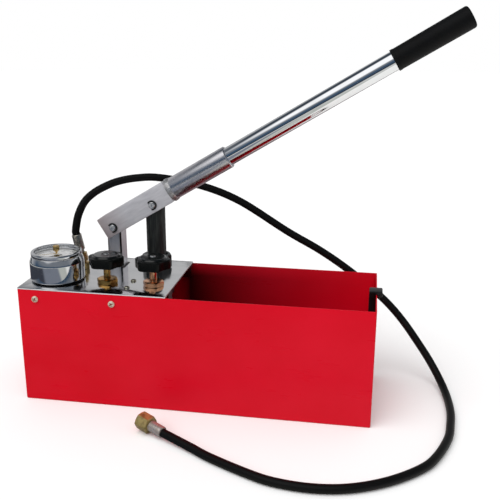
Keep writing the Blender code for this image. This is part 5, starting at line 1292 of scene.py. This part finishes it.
lever = {
    "back": 0.016, "front": 0.0975, "below": 0.0115, "above": 0.0215, "inner": 0.015, "wall": 0.0025,
    "endPlate": 0.006, "edge": 0.0009, "insideCorner": 0.0015, "offset": 0.005, "pinHole": 0.0053,
    "socket": 0.0165, "socketLength": 0.1025, "socketFloor": 0.006, "mouth": 0.001, "bore": 0.0138,
    # the pinkish painted reflection at the fork's left end, and how far along it fades out
    "paintedReflectionTone": (0.42, 0.36, 0.37), "paintedReflectionTo": 0.03,
}
weld = {
    "radius": 0.0182, "length": 0.007, "bulge": 0.0004, "steps": 6, "ripples": 34, "rippleSides": 6,
    "ripple": 0.00025, "slant": 260, "strayScale": 240,
}
tube = {"radius": 0.0135, "wall": 0.002, "length": 0.468, "edge": 0.0005}
grip = {
    "radius": 0.0155, "length": 0.112, "end": 0.0047, "round": 0.0036, "bead": 0.0004, "beadLength": 0.004,
    "bore": 0.0138, "roundSteps": 8,
}
pin = {"radius": 0.005, "protrusion": 0.0025, "chamfer": 0.0007, "dimple": 0.0013, "dimpleDepth": 0.0005}
ring = {"inner": 0.0053, "outer": 0.0075, "thickness": 0.0012, "gap": radians(110), "edge": 0.0002, "steps": 60}


def makeForkSteel():
    # rubbed along its length, and a pinkish painted reflection at the left end
    steel = makeSatinSteel("forkSteel", (0.60, 0.59, 0.62), leverEuler, 0.42, 0.5, 0.10)
    along = steel.part(steel.place(fulcrum, leverEuler), "X")
    # painted reflection: a pinkish tone at the left end, fading out along the lever
    paintedReflection = steel.window(along, -lever["back"], lever["paintedReflectionTo"])
    marks = steel.cloud(steel.place(fulcrum, leverEuler, (1.0, 0.2, 0.2)), 45.0, 4.0)
    plain = steel.mix(steel.window(marks, 0.35, 0.70), (0.64, 0.63, 0.66), (0.52, 0.515, 0.545))
    steel.feed("Base Color", steel.mix(paintedReflection, lever["paintedReflectionTone"], plain))
    return steel


def weldShape():
    # a bead round the socket's foot, rippled by the torch
    radius, length, socket = weld["radius"], weld["length"], lever["socket"]
    within = socket - lever["mouth"]
    profile = [(within, -clearance), (radius, -clearance)]
    for step in range(1, weld["steps"] + 1):
        share = step / weld["steps"]
        bulge = sin(pi * share) * weld["bulge"]
        profile.append((radius + (socket - radius) * share + bulge, length * share + bulge))
    profile.append((within, length))
    bead = spun(profile, weld["rippleSides"] * weld["ripples"])
    for vert in bead.verts:
        reach = vert.co.xy.length
        if reach > socket - clearance:
            turn = atan2(vert.co.y, vert.co.x)
            wave = abs(sin(weld["ripples"] / 2 * turn + weld["slant"] * vert.co.z))
            stray = noise.noise(vert.co * weld["strayScale"])
            vert.co.xy *= 1 + weld["ripple"] / reach * (wave - 0.5 + stray)
    return bead


def makeLever():
    inner, wall, above = lever["inner"], lever["wall"], lever["above"]
    outer, end = inner + wall, lever["front"] + lever["endPlate"]
    below = -lever["below"]
    channel = boxShape((-lever["back"], -outer, below), (end, outer, above), lever["edge"])
    low, high = (-2 * lever["back"], -inner, 2 * below), (lever["front"], inner, above - wall)
    tools = [boxShape(low, high, lever["insideCorner"])]
    for along in (0, (plungerPin - fulcrum).length):
        hole = moved(barShape(lever["pinHole"], -2 * outer, 2 * outer), turned(quarter, "X"))
        tools.append(moved(hole, at(along, 0)))
    shape = moved(carve(channel, tools), leverPlace)
    addPiece("leverFork", shape, makeForkSteel(), "lever_fork", "lever")

    place = leverPlace @ (at(end, 0, lever["offset"]) @ turned(quarter, "Y"))
    foot, length, mouth = -weld["length"] / 2, lever["socketLength"], lever["mouth"]
    bore, radius = lever["bore"], lever["socket"]
    profile = stairs(0, lever["socketFloor"], bore, length - mouth) + [(bore + mouth, length)]
    profile += [(radius - mouth, length), (radius, length - mouth), (radius, foot), (0, foot)]
    steel = makeChrome("socketSteel", fulcrum, tubeEuler, (0.72, 0.71, 0.74), 0.25)
    shape = turnedShape(profile, mouth / 3, place, 96, False)
    addPiece("leverSocket", shape, steel, "", "lever")
    addPiece("forkWeld", moved(weldShape(), place), makeWeldMetal(), "", "lever")

    tubeStart = lever["socketFloor"] + clearance
    tubeEnd = tubeStart + tube["length"]
    profile = rectangle(tube["radius"] - tube["wall"], tubeEnd, tube["radius"], tubeStart)
    shape = turnedShape(profile, tube["edge"], place, 128)
    addPiece("leverTube", shape, makeChrome("tubeChrome", fulcrum, tubeEuler), "lever_tube", "lever")

    radius, curve, bead, floor = grip["radius"], grip["round"], grip["bead"], tubeEnd + clearance
    gripEnd = floor + grip["end"]
    start = gripEnd - grip["length"]
    step = start + grip["beadLength"]
    curved = arc((radius - curve, gripEnd - curve), curve, 0, quarter, grip["roundSteps"])
    profile = [(0, gripEnd), *reversed(curved)]
    profile += [(radius - bead, step + bead), (radius, step)]
    profile += stairs(radius, start, grip["bore"], gripEnd - grip["end"], 0)
    shape = turnedShape(profile, bead, place, 96, False)
    rubber = makeBlackPlastic("gripRubber", 0.50, 1100.0, 0.35, (0.0035, 0.004, 0.005), 0.15)
    addPiece("leverGrip", shape, rubber, "lever_grip", "lever")


def makePins():
    dark = makeDarkSteel("ringSteel", fulcrum, (0.08, 0.08, 0.08))
    outer = lever["inner"] + lever["wall"]
    reach, face = outer + pin["protrusion"], outer + clearance
    radius, chamfer = pin["radius"], pin["chamfer"]
    half = [(0, reach - pin["dimpleDepth"]), (pin["dimple"], reach), (radius - chamfer, reach)]
    half.append((radius, reach - chamfer))
    profile = half + [(r, -z) for r, z in reversed(half)]
    start = ring["gap"] / 2 - pi
    outline = band(ring["outer"], ring["inner"], start, -start, ring["steps"])
    number = 0
    for kind, centre in (("fulcrum", fulcrum), ("plunger", plungerPin)):
        place = Matrix.Translation(centre)
        tones = ((0.74, 0.74, 0.75), (0.60, 0.60, 0.60))
        bright = makeTurnedMetal(f"{kind}PinSteel", *tones, centre, (quarter, 0, 0), 0.18)
        shape = turnedShape(profile, chamfer / 3, place @ turned(quarter, "X"), 48, False)
        addPiece(f"{kind}Pin", shape, bright, f"{kind}_pin", "lever")
        for side in (-1, 1):
            number += 1
            shape = slabShape(outline, face, face + ring["thickness"], ring["edge"], 2)
            moved(shape, place @ (leverTurn @ turned(-side * quarter, "X")))
            addPiece(f"retainingRing{number}", shape, dark, f"pin_clip_{number}", "lever")


# Studio

studio = {
    "floorRadius": 9.0, "paper": (0.95, 0.95, 0.95), "seenWorld": (1, 1, 1), "world": (0.55, 0.55, 0.55),
    "keyRise": radians(56), "keyAzimuth": radians(-115), "keyAngle": radians(70), "keyStrength": 2.2,
    "keyDistance": 3,
    # what mirrors see: the floor near the pump by azimuth in degrees from +X, up to each value
    "around": (
        (-137, (0.045, 0.050, 0.065)), (-80, (0.19, 0.21, 0.25)), (-46, (0.50, 0.52, 0.48)),
        (49, (0.92, 0.92, 0.89)), (148, (0.24, 0.19, 0.20)), (180, (0.045, 0.050, 0.065)),
    ),
    # further out the floor is pale and then dark, by distance
    "softness": 4.0, "pale": (0.9, 1.2), "paleTone": (0.62, 0.62, 0.60),
    "dark": (1.5, 1.9), "darkTone": (0.03, 0.045, 0.065),
    # the world by rise and by how far back, and the panel in the key light's direction
    "dusk": (0.16, 0.30), "duskTone": (0.05, 0.09, 0.15), "frontTone": (0.21, 0.23, 0.26),
    "back": (-0.3, 0.3), "backTone": (0.50, 0.50, 0.51), "ceiling": (0.52, 0.68),
    "ceilingTone": (0.05, 0.065, 0.085), "panelTone": (1.2, 1.2, 1.2), "panelSize": radians(30),
    "panelEdge": radians(5),
}


def aroundStops():
    # the tones as stops of a ramp that runs once round, from the left of the pump
    soft, tones = studio["softness"], studio["around"]
    stops = [(0.0, tones[0][1])]
    for (end, tone), (_, after) in zip(tones, tones[1:]):
        stops += [((end + 180 - soft) / 360, tone), ((end + 180 + soft) / 360, after)]
    return [*stops, (1.0, tones[-1][1])]


def makeFloor():
    paper = Finish("floorPaper", studio["paper"], {"Roughness": 0.9, "Specular IOR Level": 0.0})
    here = paper.place()
    turning = paper.node("TexGradient", {"gradient_type": "RADIAL"}, {"Vector": here})
    tones = paper.node("ValToRGB", {"stops": aroundStops()}, {"Fac": turning})
    away = paper.vector("LENGTH", here, output="Value")
    middle = paper.mix(paper.window(away, *studio["pale"]), tones, studio["paleTone"])
    mirrored = paper.mix(paper.window(away, *studio["dark"]), middle, studio["darkTone"])
    glossy = paper.node("LightPath", output="Is Glossy Ray")
    paper.feed("Base Color", paper.mix(glossy, studio["paper"], mirrored))
    shape = bmesh.new()
    bmesh.ops.create_circle(shape, cap_ends=True, segments=128, radius=studio["floorRadius"])
    mesh = meshOf("studioFloor", faced(shape))
    mesh.materials.append(paper.material)
    floor = linked("studioFloor", mesh)


def makeKeyLight():
    # one wide soft light from the front left, above
    data = bpy.data.lights.new("keyLight", "SUN")
    data.energy = studio["keyStrength"]
    data.angle = studio["keyAngle"]
    towards = pointing(studio["keyRise"], studio["keyAzimuth"])
    lamp = linked("keyLight", data)
    lamp.matrix_world = aimed(towards * studio["keyDistance"], towards)
    lamp.visible_glossy = False


def makeWorld():
    # even light; mirrors see a dusky horizon in front, a greyer back, a dark ceiling and the light's panel
    world = bpy.data.worlds.new("studio")
    bpy.context.scene.world = world
    world.use_nodes = True
    air = Shading(world.node_tree)
    towards = air.node("TexCoord", output="Generated")
    rise = air.part(towards, "Z")
    front = air.mix(air.window(rise, *studio["dusk"]), studio["duskTone"], studio["frontTone"])
    level = air.mix(air.window(air.part(towards, "Y"), *studio["back"]), front, studio["backTone"])
    sky = air.mix(air.window(rise, *studio["ceiling"]), level, studio["ceilingTone"])
    key = pointing(studio["keyRise"], studio["keyAzimuth"])
    edge, size = studio["panelEdge"], studio["panelSize"]
    panel = air.window(air.vector("DOT_PRODUCT", towards, key, "Value"), cos(size + edge), cos(size - edge))
    mirrored = air.mix(panel, sky, studio["panelTone"])
    glossy, seen = (air.node("LightPath", output=f"Is {kind} Ray") for kind in ("Glossy", "Camera"))
    shade = air.mix(seen, air.mix(glossy, studio["world"], mirrored), studio["seenWorld"])
    world.node_tree.links.new(shade.socket, world.node_tree.nodes["Background"].inputs["Color"])


makeTank()
makePlate()
makeHook()
makeScrews()
print("tank, deck, hook and screws made")
makeCastBody()
makePumpWorks()
makePipes()
makePlugsAndBalls()
makeGlandAndPlunger()
print("pump made")
makeValve("shutoff", (0.66, 0.38, 0.11), (0.26, 0.12, 0.035), radians(35))
makeValve("release", (0.88, 0.46, 0.25), (0.46, 0.19, 0.09), radians(70))
makeGauge()
print("valves and gauge made")
makeOutlet()
hoseLine.data.materials.append(hoseRubber.material)
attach(hoseLine, "root")
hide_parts("hose")
makeHoseEnd()
print("outlet and hose made")
makeLink()
makeLever()
makePins()
print("link and lever made")
makeFloor()
makeWorld()
makeKeyLight()
bpy.context.scene.view_settings.view_transform = "Standard"
